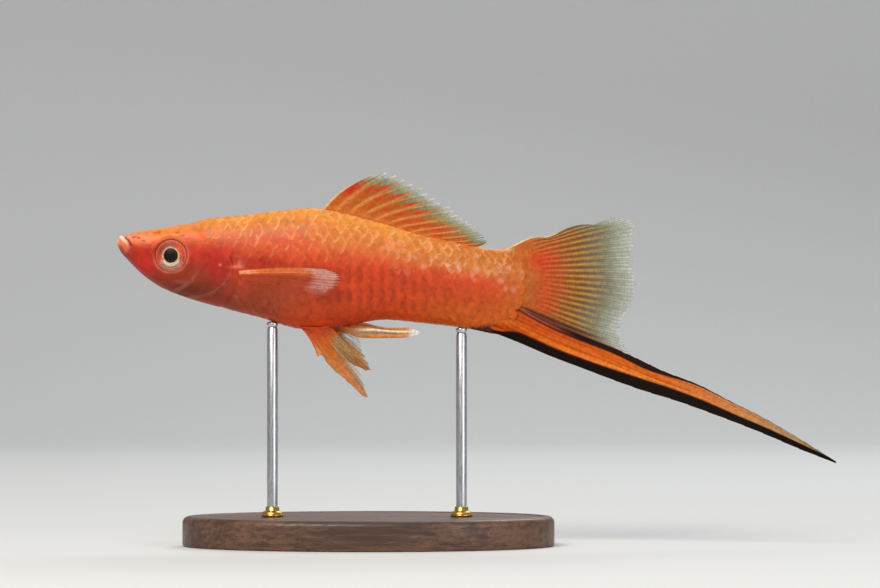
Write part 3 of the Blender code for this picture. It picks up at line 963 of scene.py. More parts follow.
@dataclass(frozen=True)
class Markings:
    """The colours of the living fish, as a function of the place on it. Skin and scales share them.

    "head", "trunk" and "stalk" are colours by how high they lie, from belly 0 to back 1. A blot is a soft
    spot: colour, middle, half size and weight. The dark stripes, painted shade between the scales, lie a
    pitch apart, as the scales do.
    """

    form: BodyForm = BodyForm()
    relief: HeadRelief = HeadRelief()
    # Colours by height: the lighter orange higher up is partly the fish's own colour and partly painted
    # light from above.
    head: tuple = (
        (0.0, "#A2321A"), (0.12, "#8C2A0E"), (0.3, "#962910"), (0.45, "#A02612"), (0.58, "#AE2914"),
        (0.68, "#C0401E"), (0.76, "#CC5624"), (0.85, "#D87030"), (1.0, "#E28E42"),
    )
    trunk: tuple = (
        (0.0, "#D0461A"), (0.12, "#CE4412"), (0.3, "#CA400F"), (0.46, "#C63E16"), (0.56, "#C8421E"),
        (0.63, "#C84E22"), (0.69, "#C76328"), (0.85, "#CF712B"), (0.95, "#DE8A3C"), (1.0, "#E49442"),
    )
    stalk: tuple = (
        (0.0, "#CA560E"), (0.2, "#BE520C"), (0.36, "#BC4610"), (0.5, "#C4401A"), (0.6, "#CA4A20"),
        (0.68, "#C4682A"), (0.76, "#BC6C2C"), (0.85, "#BA6620"), (0.92, "#C06826"), (1.0, "#C26A30"),
    )
    blots: tuple = (
        ("#F3B79A", (0.6, 0.1), (0.9, 0.8), 0.55),
        ("#EDA182", (2.4, 0.55), (1.5, 0.6), 0.6),
        ("#E4855E", (4.4, 0.2), (2.4, 1.0), 0.6),
        ("#C42014", (4.9, -4.1), (2.6, 1.9), 0.8),
        ("#A81E14", (16.9, -4.8), (1.6, 2.1), 0.78),
        ("#B8321E", (13.6, -1.7), (1.8, 1.5), 0.6),
        ("#84381A", (13.4, -5.8), (1.9, 1.7), 0.6),
        ("#5C2206", (11.4, -8.3), (3.4, 1.6), 0.8),
        ("#6A280E", (15.4, -8.0), (2.4, 1.5), 0.6),
        ("#C25A42", (10.9, -7.0), (1.3, 0.4), 0.35),
        ("#B02E20", (18.6, -2.4), (1.4, 1.4), 0.5),
        # Painted shadow of the breast fin: brown on the flank under it.
        ("#883620", (22.8, -10.2), (5.6, 3.2), 0.82),
        ("#944426", (27.6, -10.6), (4.6, 2.6), 0.55),
        ("#9C1C0C", (24.0, -3.7), (5.0, 1.3), 0.85),
        ("#B8301A", (40.0, -13.8), (4.5, 1.3), 0.6),
        ("#F2C4B8", (20.95, -3.75), (0.5, 0.34), 0.9),
        ("#E08A6C", (20.35, -4.5), (0.95, 0.22), 0.7),
        # A small painted highlight on the gill cover.
        ("#EFA48C", (17.5, -4.2), (0.24, 0.2), 0.42),
    )
    first_bar: float = 35.6
    bar_pitch: float = 1.75

    def colour(self, points: Array) -> Array:
        """Linear colours at points on the body.

        Args:
            points: (..., 3) points.

        Returns:
            Linear colours, (..., 3).
        """
        along, side, level = points[..., 0], np.abs(points[..., 1]), points[..., 2]
        waver = mottle(points, 2.6, 3)
        rise = self.form.rise(along, level) + 0.025 * waver
        forward = smooth(38, 28, along) * bell(rise - 0.77, 0.1)
        trunk = graded(self.trunk, rise - 0.155 * forward)
        stalk = Paint(graded(self.stalk, rise))
        stalk.lay("#B85C1A", 0.75 * smooth(61.5, STALK_END, along) * smooth(0.1, 0.4, rise))
        to_stalk = smooth(44, 60, along)[..., None]
        to_head = smooth(22.5, 17.5, along + 0.8 * waver)[..., None]
        behind = trunk * (1 - to_stalk) + stalk.colour * to_stalk
        paint = Paint(behind * (1 - to_head) + graded(self.head, rise) * to_head)
        for code, middle, size, weight in self.blots:
            away = np.hypot((along - middle[0]) / size[0], (level - middle[1]) / size[1])
            paint.lay(code, weight * bell(away, 1.0))
        # Painted shade: dark stripes between the scale columns, low on the flank.
        bars = 0.5 + 0.5 * np.cos(2 * math.pi * (along - self.first_bar) / self.bar_pitch + 0.7 * waver)
        barred = smooth(29, 37, along) * smooth(61, 48, along)
        barred = barred * smooth(0.05, 0.2, rise) * smooth(0.62, 0.5, rise)
        paint.lay("#801C06", 0.46 * bars**2 * barred)
        self.lines(paint, along, side, level)
        return paint.colour

    def lines(self, paint: Paint, along: Array, side: Array, level: Array) -> None:
        """Paints the fine lines: lips with painted shade in the mouth's slit, eye ring with painted shade
        on its upper front, gill folds, pores and the edges of the stalk.

        Args:
            paint: The body's colours so far.
            along: Distance from the snout.
            side: Distance from the middle plane.
            level: Height over the mouth.
        """
        near = self.relief.lines(along, level)
        across, mouth = self.relief.slit(along, level)
        front = bell(along - 0.05, 0.3) * smooth(-1.9, -0.9, level)
        lips = mouth * smooth(2.6, 1.0, along)
        lip = bell(across + 0.4, 0.34) * lips
        paint.lay("#E0744E", 0.6 * bell(across + 1.0, 0.6) * mouth * smooth(2.8, 1.6, along))
        paint.lay("#F3D3B2", 0.86 * np.maximum(lip, 0.75 * front))
        paint.lay("#E59C8A", 0.7 * bell(across - 0.5, 0.42) * lips)
        # Painted shade in the mouth's slit.
        paint.lay("#5A1A12", 0.8 * bell(across, 0.1) * mouth)
        ring = self.relief.orbit(along, level)
        tilt = self.relief.tilt(along, level)
        # Painted shade on the eye ring's upper front.
        paint.lay("#7E2C1C", 0.5 * bell(ring - 2.7, 0.3) * smooth(-1.0, 2.5, tilt))
        paint.lay("#D8826C", 0.4 * bell(ring - 2.86, 0.24) * smooth(3.0, -0.5, tilt))
        paint.lay("#8E2A1C", 0.4 * bell(ring - 2.58, 0.16))
        broken = 0.6 + 0.5 * mottle(stacked(along, side, level), 0.9, 17)
        gill = bell(near["gill"] - 0.1, 0.16) * smooth(-4, -7, level)
        cheek = bell(near["cheek"] - 0.1, 0.24) * smooth(-4.6, -6.4, level)
        paint.lay("#CC7C66", 0.42 * broken * gill)
        paint.lay("#BE7260", 0.5 * broken * cheek)
        paint.lay("#D8826A", 0.45 * broken * bell(near["girdle"], 0.2))
        for spot in self.relief.pores + self.relief.nostrils:
            slope = 0.5 * (scatter(spot[0], spot[1]) - 0.3)
            away = np.hypot((along - spot[0]) / 2.6, level - spot[1] - slope * (along - spot[0]))
            paint.lay("#A5301C", 0.7 * bell(away, 0.16))
        above, below = through(self.form.back, along) - level, level - through(self.form.belly, along)
        ridge = smooth(58, 63, along) * smooth(0.5, 0.05, above) * smooth(67.4, 66.0, along)
        paint.lay("#F8CF86", 0.6 * ridge)
        paint.lay("#E8B684", 0.5 * smooth(46, 50, along) * smooth(0.3, 0.08, below))
        band = 0.3 + 1.1 * smooth(58.5, 64, along)
        paint.lay("#160D09", 0.97 * smooth(57.8, 59.6, along) * smooth(1.1, 0.6, below / band))


@dataclass
class Skin:
    """The one skin over head, jaw, gill covers, trunk and tail stalk."""

    form: BodyForm = BodyForm()
    relief: HeadRelief = HeadRelief()
    markings: Markings = Markings()
    sides: int = 288
    nose_rings: int = 22
    lip_step: float = 0.06
    lip_end: float = 3.2
    head_step: float = 0.1
    head_end: float = 21.5
    trunk_step: float = 0.5
    end_rounding: float = 0.5
    relief_end: float = 24.0
    bare_depth: float = 0.03
    coat_depth: float = 0.2
    coat_fade: tuple = (-1.7, -0.5)

    def stations(self) -> Array:
        """Places of the rings: crowded at the nose, close on the head, wider on the trunk.

        Returns:
            Distances from the snout, rising.
        """
        rounding = self.form.nose_rounding
        nose = rounding * (1 - np.cos(np.linspace(0, math.pi / 2, self.nose_rings + 1)[1:]))
        lips = np.arange(rounding + self.lip_step, self.lip_end - self.lip_step / 2, self.lip_step)
        head = np.arange(self.lip_end, self.head_end - self.head_step / 2, self.head_step)
        trunk = np.arange(self.head_end, STALK_END - self.end_rounding - 0.1, self.trunk_step)
        end = STALK_END - self.end_rounding * np.cos(np.linspace(0, math.pi / 2, 5))
        return np.concatenate([nose, lips, head, trunk, end])

    def shape(self, coat: ScaleCoat) -> Shape:
        """The skin: the body's form, moved along its normal by the relief less the coat's depth.

        Args:
            coat: The scales over it.

        Returns:
            The closed skin with its paint.
        """
        stations = self.stations()
        angle = np.linspace(0, 2 * math.pi, self.sides, endpoint=False)
        plain = self.form.point(stations[:, None], angle[None, :])
        wide = np.concatenate([plain[:, -1:], plain, plain[:, :1]], axis=1)
        turn = (wide[:, 2:] - wide[:, :-2]) / 2
        normal = np.cross(turn, np.gradient(plain, axis=0))
        normal /= np.linalg.norm(normal, axis=-1, keepdims=True)
        scaled = smooth(*self.coat_fade, stations[:, None] - coat.start(angle)[None, :])
        depth = self.bare_depth + (self.coat_depth - self.bare_depth) * scaled
        lift = np.where(plain[..., 0] < self.relief_end, self.relief.height(plain), 0) - depth
        grid = plain + normal * lift[..., None]
        closing = np.sqrt(np.clip((STALK_END + 0.02 - stations) / self.end_rounding, 0.03, 1))
        grid[..., 1] *= closing[:, None]
        rings = grid.reshape(-1, 3)
        tip = np.array([[self.bare_depth, 0, self.form.nose_level]])
        points = np.concatenate([rings, tip, rings[-self.sides :].mean(axis=0)[None]])
        paint = self.markings.colour(points)
        return Shape(points, capped(len(stations), self.sides), colours={"Paint": paint})

    def build(self, coat: ScaleCoat) -> None:
        """Makes the skin, which stands for every solid of flesh.

        Args:
            coat: The scales over it.
        """
        finish = FishSkin(
            "wet_fish_skin", (0.42, 0.55), coat=0.1, coat_roughness=0.2, soft=0.12, specular=0.19
        )
        nodes = (
            "head", "lower_jaw", "gill_cover_left", "gill_cover_right", "trunk_front", "trunk_rear",
            "tail_stalk",
        )
        self.shape(coat).made("skin", finish.made(), "skin", nodes)


@dataclass
class ScaleCoat:
    """Round scales in staggered rows, each tilted so that its rear edge lies over the next ones.

    They stand a pitch apart, from "first" on. Their half length and half breadth, half_size, are in
    pitches and in row widths. Their front edges are sunk into the skin.
    """

    form: BodyForm = BodyForm()
    markings: Markings = Markings()
    rows: int = 26
    pitch: tuple = ((12.0, 1.45), (24.0, 1.75), (50.0, 1.75), (67.0, 1.4))
    begins: tuple = (
        (0.0, 18.2), (0.1, 19.8), (0.18, 21.3), (0.24, 21.2), (0.28, 19.4), (0.32, 16.9), (0.37, 14.9),
        (0.43, 13.5), (0.5, 12.5),
    )
    first: float = 12.2
    half_size: tuple = (0.8, 1.06)
    sunk: float = 0.2
    dome: float = 0.03
    bake_patch: float = 0.0015
    ring_points: int = 14
    rings: tuple = (0.87, 1.0)
    rise: tuple = (0.0, 0.15)
    thickness: float = 0.04
    # Colours of the scales' edges by height: painted shade between the scales low down, a pale net on the
    # back.
    rims: tuple = (
        (0.0, "#84280E"), (0.42, "#8E2C10"), (0.54, "#C45430"), (0.68, "#DA8450"), (0.85, "#E8A262"),
        (1.0, "#EEB26C"),
    )
    glints: tuple = (
        (46.4, -2.4), (50.9, -3.1), (54.0, -3.6), (57.4, -4.6), (60.0, -4.8), (63.0, -5.7), (66.0, -6.0),
    )

    def start(self, angle: Array) -> Array:
        """Where the scales begin at an angle round the body, from the nape down to the breast."""
        climb = np.abs((np.asarray(angle) + math.pi / 2) / (2 * math.pi) % 1)
        return through(self.begins, np.minimum(climb, 1 - climb))

    def lattice(self) -> tuple:
        """Middles of the scales: half-columns half a pitch apart, with every other row in each.

        Returns:
            Arrays of along, angle, column number and row number.
        """
        places = [self.first]
        while places[-1] < STALK_END - 0.5:
            places.append(places[-1] + float(through(self.pitch, places[-1])) / 2)
        angles = np.linspace(-math.pi / 2, 1.5 * math.pi, 721)
        found = []
        for column, along in enumerate(places):
            ring = self.form.point(np.full(angles.shape, along), angles)
            steps = np.linalg.norm(np.diff(ring, axis=0), axis=1)
            share = np.concatenate([[0], np.cumsum(steps)]) / steps.sum()
            row = np.arange(column % 2, self.rows, 2)
            angle = np.interp(row / self.rows, share, angles)
            found.append(stacked(along, angle, column, row))
        along, angle, column, row = np.concatenate(found).T
        kept = along > self.start(angle)
        return along[kept], angle[kept], column[kept], row[kept]

    def disc(self) -> tuple:
        """One scale in its own plane: rings about a middle, then the underside's ring and middle.

        Returns:
            (x, y) from -1 to 1, whether each point lies on the underside, and the faces.
        """
        turn = np.linspace(0, 2 * math.pi, self.ring_points, endpoint=False)
        ring = stacked(np.cos(turn), np.sin(turn))
        middle = np.zeros((1, 2))
        flat = np.concatenate([middle, *(ring * r for r in self.rings), ring, middle])
        under = np.zeros(len(flat), bool)
        under[-self.ring_points - 1 :] = True
        count = len(self.rings) + 1
        numbers = np.arange(self.ring_points)
        faces = [
            fan(0, 1 + numbers, back=True),
            net(count, self.ring_points, first=1, wrap=True),
            fan(len(flat) - 1, 1 + (count - 1) * self.ring_points + numbers),
        ]
        return flat, under, faces

    def laid(self, surface: Callable, places: tuple, sizes: tuple, sink: float, tones: Array,
             relief: float = 1.0) -> Shape:
        """Discs laid on a surface, each raised towards its rear edge and domed a little.

        Args:
            surface: Gives points for two coordinates, with the second turning left of the first.
            places: The two coordinates of the middles.
            sizes: Half length and half breadth of each disc, in the same coordinates.
            sink: How far the discs' front edges lie under the surface.
            tones: Brightness of each disc's paint.
            relief: Share of the body scales' tilt and dome.

        Returns:
            The shape, with its paint and its disc map.
        """
        flat, under, faces = self.disc()
        u = places[0][:, None] + flat[:, 0] * sizes[0][:, None]
        v = places[1][:, None] + flat[:, 1] * sizes[1][:, None]
        step_u, step_v = 0.02 * sizes[0][:, None], 0.02 * sizes[1][:, None]
        normal = np.cross(
            surface(u, v + step_v) - surface(u, v - step_v), surface(u + step_u, v) - surface(u - step_u, v)
        )
        normal /= np.maximum(np.linalg.norm(normal, axis=-1, keepdims=True), 1e-12)
        dome = self.dome * (1 - np.sum(flat**2, axis=1))
        lift = relief * (self.rise[0] + (self.rise[1] - self.rise[0]) * (flat[:, 0] + 1) / 2 + dome)
        points = surface(u, v) + normal * (lift - sink - self.thickness * under)[None, :, None]
        start = len(flat) * np.arange(len(tones))[:, None, None]
        whole = [(group[None] + start).reshape(-1, group.shape[1]) for group in faces]
        paint = self.markings.colour(points) * tones[:, None, None]
        disc = np.tile(flat, (len(tones), 1))
        return Shape(points.reshape(-1, 3), whole, {"Paint": paint.reshape(-1, 3)}, maps={"Disc": disc})

    def finished(self, shape: Shape, rise: Array, spots: tuple, place: Array) -> Shape:
        """Adds rim colour, a pale net high up and painted shade low down, net strength, painted glints and
        the bake map, with a small patch for each scale.

        Args:
            shape: The laid discs.
            rise: How high each lies between belly and back.
            spots: Strength of each disc's net and of its glint.
            place: Each disc's place on the unwrapped skin, (n, 2).

        Returns:
            The same shape.
        """
        per = len(shape.points) // len(rise)
        shape.colours["Rim"] = np.repeat(graded(self.rims, rise), per, axis=0)
        shape.values["Net"], shape.values["Glint"] = (np.repeat(spot, per) for spot in spots)
        shape.maps["OFBake"] = np.repeat(place, per, axis=0) + self.bake_patch * shape.maps["Disc"]
        return shape

    def body_scales(self, kept: Array) -> Shape:
        """The chosen scales of the body as one mesh.

        Args:
            kept: Which middles of the lattice to use.

        Returns:
            The shape.
        """
        along, angle, column, row = (part[kept] for part in self.lattice())
        length = self.half_size[0] * through(self.pitch, along)
        breadth = self.half_size[1] * self.girth(along) / self.rows / self.form.per_turn(along, angle)
        tones = 1 + 0.16 * (scatter(column, row, 5) - 0.5)
        shape = self.laid(self.form.point, (along, angle), (length, breadth), self.sunk, tones)
        middle = self.form.point(along, angle)
        rise = self.form.rise(middle[:, 0], middle[:, 2])
        net_strength = 0.28 + 0.22 * smooth(0.5, 0.85, rise) + 0.3 * (scatter(column, row, 2) - 0.5)
        net_strength *= 0.35 + 0.65 * smooth(0, 5, along - self.start(angle))
        place = stacked(along / 80, (angle / (2 * math.pi)) % 1 * 0.96 + 0.02)
        return self.finished(shape, rise, (net_strength, self.glint(middle, column, row)), place)

    def tail_scales(self, fan: TailFan, side: int) -> Shape:
        """Small scales that run out on one face of the tail fan's root, farthest at mid height.

        Args:
            fan: The fan that they lie on.
            side: 1 for the fish's right, -1 for its left.

        Returns:
            The shape.
        """
        column, row = np.meshgrid(np.arange(9), np.arange(13), indexing="ij")
        out, across = 0.034 * column - 0.065, 0.02 + 0.078 * row
        limit = 0.02 + 0.17 * np.sin(math.pi * across) ** 0.7 + 0.06 * (scatter(column, row, 1) - 0.5)
        kept = ((column + row) % 2 == 0) & (across < 0.86) & (out < limit)
        out, across, column, row = out[kept], across[kept], column[kept], row[kept]
        length, breadth = 0.054 - 0.06 * out, 0.083 - 0.1 * out

        def face(u: Array, v: Array) -> Array:
            """Points on the chosen face, with v turned so that the discs face outwards."""
            return fan.face(u, v * -side, side)

        tones = 0.95 + 0.1 * scatter(column, row, 5)
        shape = self.laid(face, (out, across * -side), (length, breadth), 0.02, tones, 0.7)
        flat = self.disc()[0]
        a = np.clip(across[:, None] - side * flat[:, 1] * breadth[:, None], 0, 1)
        b = np.clip(out[:, None] + flat[:, 0] * length[:, None], 0, 1)
        tail = fan.dressed(a, b, np.full(a.shape, 0.5)).colour.reshape(-1, 3)
        share = smooth(-0.06, 0.06, b).reshape(-1, 1)
        shape.colours["Paint"] = shape.colours["Paint"] * (1 - share) + tail * share
        middle = fan.face(out, across, side)
        rise = np.clip((middle[:, 2] + 15.8) / 14.6, 0, 1)
        spots = (np.clip(0.25 - 1.3 * np.abs(out), 0, 1), 0.4 * self.glint(middle, column, row))
        place = stacked(0.87 + 0.4 * out, 0.5 + side * (0.04 + 0.4 * across))
        return self.finished(shape, rise, spots, place)

    def girth(self, along: Array) -> Array:
        """Distance round the body: pi (3 (a + b) - root of (3 a + b)(a + 3 b)), as for an ellipse.

        Args:
            along: Distance from the snout.

        Returns:
            The distances.
        """
        deep = (through(self.form.back, along) - through(self.form.belly, along)) / 2
        wide = through(self.form.half_width, along)
        return math.pi * (3 * (deep + wide) - np.sqrt((3 * deep + wide) * (deep + 3 * wide)))

    def glint(self, middle: Array, column: Array, row: Array) -> Array:
        """Strength of the painted glints, pearly spots of reflected light: on a row along the stalk, and
        faintly beside it.

        Args:
            middle: The scales' middles, (n, 3).
            column: Their column numbers.
            row: Their row numbers.

        Returns:
            One strength for each scale.
        """
        away = distance_to(np.array(self.glints), middle[:, 0], middle[:, 2])
        chance = scatter(column, row, 9)
        near = 0.72 * bell(away, 0.6) * (0.15 + 0.85 * chance)
        return near + 0.2 * bell(away - 1.6, 1.2) * (chance > 0.7)

    def build(self, fan: TailFan) -> None:
        """Makes the right and the left coat, each with the scales on its face of the tail.

        Args:
            fan: The tail's fan.
        """
        row = self.lattice()[3]
        finish = FishScale(
            "wet_fish_scale", (0.4, 0.55), coat=0.1, coat_roughness=0.18, soft=0.1, specular=0.19
        )
        material = finish.made()
        right = (row > 0) & (row <= self.rows // 2)
        for side, kept in ((Side.RIGHT, right), (Side.LEFT, ~right)):
            shape = joined([self.body_scales(kept), self.tail_scales(fan, side.value)])
            self.crisp(shape.made(f"scales_{side.hand}", material, "skin").data)

    def crisp(self, mesh: bpy.types.Mesh) -> None:
        """Marks the upper rim of each scale as a sharp edge, so that its wall doesn't shade its face.

        Args:
            mesh: The scales' mesh.
        """
        ends = np.empty(2 * len(mesh.edges), np.int32)
        mesh.edges.foreach_get("vertices", ends)
        spot = ends.reshape(-1, 2) % len(self.disc()[0])
        first = 1 + (len(self.rings) - 1) * self.ring_points
        rim = np.all((spot >= first) & (spot < first + self.ring_points), axis=1)
        mesh.edges.foreach_set("use_edge_sharp", rim)


@dataclass
class Eye:
    """One eye: a ball with lens and iris, and the clear cornea over it."""

    side: Side
    at: tuple = HeadRelief.eye
    surface: float = 3.8
    lean: tuple = (-0.10, 0.05)
    pupil: float = 1.2
    iris: tuple = ((1.3, "#E8744A"), (1.9, "#DE5C3A"), (2.3, "#D04A32"), (2.6, "#DE8A74"))
    sides: int = 72
    ball: tuple = (
        (0.0, 0.20), (0.4, 0.18), (0.8, 0.11), (1.08, 0.0), (1.2, -0.1), (1.27, -0.07), (1.36, 0.0),
        (1.7, 0.0), (2.05, -0.06), (2.3, -0.15), (2.5, -0.28), (2.62, -0.55), (2.58, -1.4), (2.1, -2.2),
        (1.2, -2.8), (0.0, -3.0),
    )
    window: tuple = (
        (0.0, 0.38), (0.6, 0.35), (1.2, 0.27), (1.8, 0.11), (2.2, -0.08), (2.46, -0.32), (2.5, -0.5),
        (2.3, -0.7), (1.6, -0.6), (0.8, -0.5), (0.0, -0.5),
    )

    def turned_profile(self, profile: tuple, count: int) -> Shape:
        """A profile, smoothed and turned about the eye's own axis.

        Args:
            profile: (radius, height) points from the front to the back.
            count: How many points the smoothed profile has.

        Returns:
            The closed shape.
        """
        line = path(profile, np.linspace(0, 1, count))
        line[[0, -1], 0] = 0
        middle = (self.at[0], self.side.value * self.surface, self.at[1])
        return turned(line, self.sides, middle, (self.lean[0], self.side.value, self.lean[1]))

    def paint(self, points: Array) -> Array:
        """Colours of lens and iris by distance from the eye's middle and by direction.

        Args:
            points: (n, 3) points.

        Returns:
            Linear colours, (n, 3).
        """
        x, z = points[:, 0] - self.at[0], points[:, 2] - self.at[1]
        ring = np.hypot(x, z)
        up = z / np.maximum(ring, 1e-6)
        threads = mottle(points * (1, 0.3, 1), 0.16, 11)
        paint = Paint(graded(self.iris, ring))
        shade = smooth(0.2, 0.95, up - 0.5 * x / np.maximum(ring, 1e-6))
        bright = smooth(-0.3, -0.75, up + 0.15 * threads) * bell(ring - 1.58, 0.32)
        outer = smooth(-0.3, -0.85, up + 0.2 * threads) * bell(ring - 2.14, 0.13)
        paint.lay("#54241A", 0.85 * shade * bell(ring - 1.85, 0.42))
        paint.lay("#9E4230", 0.15 + 0.3 * threads)
        paint.lay("#F4E8CC", 0.95 * bright)
        paint.lay("#5A4434", 0.6 * smooth(-0.3, -0.8, up) * bell(ring - 1.95, 0.08))
        paint.lay("#E0CDB2", 0.8 * outer)
        paint.lay("#F6DCB8", 0.9 * bell(ring - 1.32, 0.09))
        paint.lay("#0B0808", smooth(self.pupil + 0.05, self.pupil - 0.05, ring))
        return paint.colour

    def build(self, ball: bpy.types.Material, window: bpy.types.Material) -> None:
        """Makes the ball, which stands for the solid eye, and the cornea.

        Args:
            ball: Finish of the ball.
            window: Finish of the cornea.
        """
        hand = self.side.hand
        globe = self.turned_profile(self.ball, 90)
        globe.colours["Paint"] = self.paint(globe.points)
        globe.made(f"eyeball_{hand}", ball, "eye", (f"eye_{hand}",))
        self.turned_profile(self.window, 60).made(f"cornea_{hand}", window, "eye")


# The fins


@dataclass
class RayFin:
    """A fin of jointed rays and clear web: P(a, b) runs from the root path to the edge path.

    "a" counts the rays from front to back and "b" goes from root to tip. A ray parts in two, and those
    again, where parts_at says, and its branches end up "parts" of a ray's spacing away from it. The web is
    cut in by "notch" between the ray tips, and "ragged" makes the cuts uneven. "bow" bends the first and
    the last ray, "spread" crowds the rays at the front edge, "side_root" and "side_tip" lean the fin out
    to the side, and "billow" waves its web. "sink" puts the root into the flesh, whose half thickness is
    root_half, and flesh_end is where it runs out. "samples" are grid columns for each ray.
    """

    name: str
    node: str
    root: tuple
    tip: tuple
    rays: int
    ray_stops: tuple
    web_stops: tuple
    ray_cover: tuple
    web_cover: tuple
    bow: tuple = (0.0, 0.0)
    side_root: float = 0.0
    side_tip: float = 0.0
    billow: float = 0.0
    spread: float = 0.0
    notch: float = 0.5
    ragged: float = 0.3
    root_half: float = 0.4
    flesh_end: float = 0.22
    ray_half: float = 0.13
    web_half: float = 0.035
    parts_at: tuple = (0.42, 0.72)
    parts: tuple = (0.25, 0.125)
    samples: int = 14
    rows: int = 60
    sink: float = 0.7
    seed: int = 1
    ray_width: float = 0.17
    jointed: float = 1.0
    slot: str = "fin"

    def phase(self, a: Array) -> tuple:
        """The nearest ray's number and the distance from it, in ray spacings."""
        t = a * (self.rays - 1)
        return np.round(t), t - np.round(t)

    def ridge(self, a: Array, b: Array) -> Array:
        """How much of a point is ray, from 0 in the web to 1 on a ray's crest.

        A ray is one crest at the root. Past each place in parts_at it parts, so its crests lie at
        plus and minus a share of the spacing that grows towards the tip.

        Args:
            a: Place across the rays.
            b: Place from root to tip.

        Returns:
            The crest's height, from 0 to 1.
        """
        ray, off = self.phase(a)
        late = 0.1 * (scatter(ray, self.seed) - 0.5)
        first = self.parts[0] * smooth(self.parts_at[0] + late, 1.05, b)
        second = self.parts[1] * smooth(self.parts_at[1] + late, 1.05, b)
        away = np.abs(np.abs(np.abs(off) - first) - second)
        width = self.ray_width * (1 - 0.55 * smooth(0.3, 1.0, b))
        return bell(away, width)

    def outline(self, a: Array) -> tuple:
        """Root and edge points for each a, the edge cut in between the ray tips.

        Args:
            a: Where points lie across the rays.

        Returns:
            Points of the root and of the edge, (n, 2) each.
        """
        root, tip = path(self.root, a), path(self.tip, a + self.spread * a * (1 - a))
        crest = self.ridge(a, np.ones_like(a))
        length = np.linalg.norm(tip - root, axis=1)
        web = np.floor(a * (self.rays - 1) * 4 + 0.5)
        tatter = self.ragged * (scatter(web, self.seed, 4) - 0.3)
        cut = self.notch * (1 - crest) + tatter
        return root, tip - (tip - root) * (cut / length)[:, None]

    def middle(self, root: Array, tip: Array, a: Array, b: Array) -> Array:
        """Points in side view: straight along the ray, and moved across it by the bow times 4 b (1 - b).

        Args:
            root: Points of the root.
            tip: Points of the edge.
            a: Place across the rays.
            b: Place from root to tip.

        Returns:
            (..., 2) points.
        """
        ray = tip - root
        across = stacked(-ray[..., 1], ray[..., 0])
        across = across / np.linalg.norm(ray, axis=-1, keepdims=True)
        bow = (self.bow[0] + (self.bow[1] - self.bow[0]) * a) * 4 * b * (1 - b)
        return root + ray * b[..., None] + across * bow[..., None]

    def sheet(self) -> tuple:
        """The fin's middle surface on its grid.

        Returns:
            (rows, columns, 3) points, their a and b, and each column's length.
        """
        a = np.linspace(0, 1, (self.rays - 1) * self.samples + 1)
        root, tip = self.outline(a)
        length = np.linalg.norm(tip - root, axis=1)
        b = np.linspace(0, 1, self.rows)[:, None]
        b = b - self.sink / length * (1 - b) ** 3
        flat = self.middle(root, tip, a, b)
        a = np.broadcast_to(a, b.shape)
        side = self.side_root + (self.side_tip - self.side_root) * np.clip(b, 0, 1) + self.billows(a, b)
        return stacked(flat[..., 0], side, flat[..., 1]), a, b, length

    def billows(self, a: Array, b: Array) -> Array:
        """A gentle wave of the web from side to side, growing towards the tip."""
        sway = np.sin(2 * math.pi * (1.4 * a + 0.35 * b) + self.seed)
        return self.billow * sway * np.clip(b, 0, 1) ** 1.5

    def fullness(self, a: Array) -> Array:
        """Share of the root's flesh: none at the first and the last ray, and all of it between them."""
        return (1 - np.abs(2 * np.clip(a, 0, 1) - 1) ** 4) ** 0.5

    def half_thickness(self, ridge: Array, a: Array, b: Array) -> Array:
        """Half thickness: flesh at the root, a rounded crest on each ray, and a film between them.

        Args:
            ridge: How much of it is ray.
            a: Place across the rays.
            b: Place from root to tip.

        Returns:
            Millimetres on either side of the middle surface.
        """
        flesh = (self.root_half - self.web_half) * smooth(self.flesh_end, -0.02, b) ** 1.5
        flesh = flesh * self.fullness(a)
        crest = self.ray_half * ridge * (1 - 0.75 * smooth(0.0, 1.0, b))
        return self.web_half + np.maximum(flesh, crest)

    def tint(self, paint: Paint, a: Array, b: Array, ridge: Array) -> None:
        """Paints what only this fin has; a plain fin adds nothing."""

    def dressed(self, a: Array, b: Array, ridge: Array) -> Paint:
        """Colour and cover, mixed from those of ray and web by the ridge.

        Args:
            a: Place across the rays.
            b: Place from root to tip.
            ridge: How much of it is ray.

        Returns:
            The paint.
        """
        crest = ridge[..., None]
        colour = graded(self.web_stops, b) * (1 - crest) + graded(self.ray_stops, b) * crest
        levels = np.linspace(0, 1, len(self.ray_cover))
        ray = np.interp(b, levels, self.ray_cover)
        web = np.interp(b, levels, self.web_cover)
        paint = Paint(colour, web + (ray - web) * ridge)
        self.tint(paint, a, b, ridge)
        return paint

    def shape(self) -> Shape:
        """The closed fin: the middle surface moved out to both sides.

        Returns:
            The fin with its paint.
        """
        sheet, a, b, length = self.sheet()
        ridge = self.ridge(a, b)
        normal = np.cross(np.gradient(sheet, axis=1), np.gradient(sheet, axis=0))
        normal /= np.maximum(np.linalg.norm(normal, axis=-1, keepdims=True), 1e-9)
        points, faces = slab(sheet, normal * self.half_thickness(ridge, a, b)[..., None])
        paint = self.dressed(a, b, ridge)
        web = stacked(a * (self.rays - 1), b * length).reshape(-1, 2)
        values = {"Cover": twice(paint.cover.ravel()), "Ray": twice(self.jointed * ridge.ravel())}
        colours = {"Paint": twice(paint.colour.reshape(-1, 3))}
        return Shape(points, faces, colours, values, {"Web": twice(web)})

    def build(self, material: bpy.types.Material) -> None:
        """Makes the fin, which stands for its solid."""
        self.shape().made(self.name, material, self.slot, (self.node,))


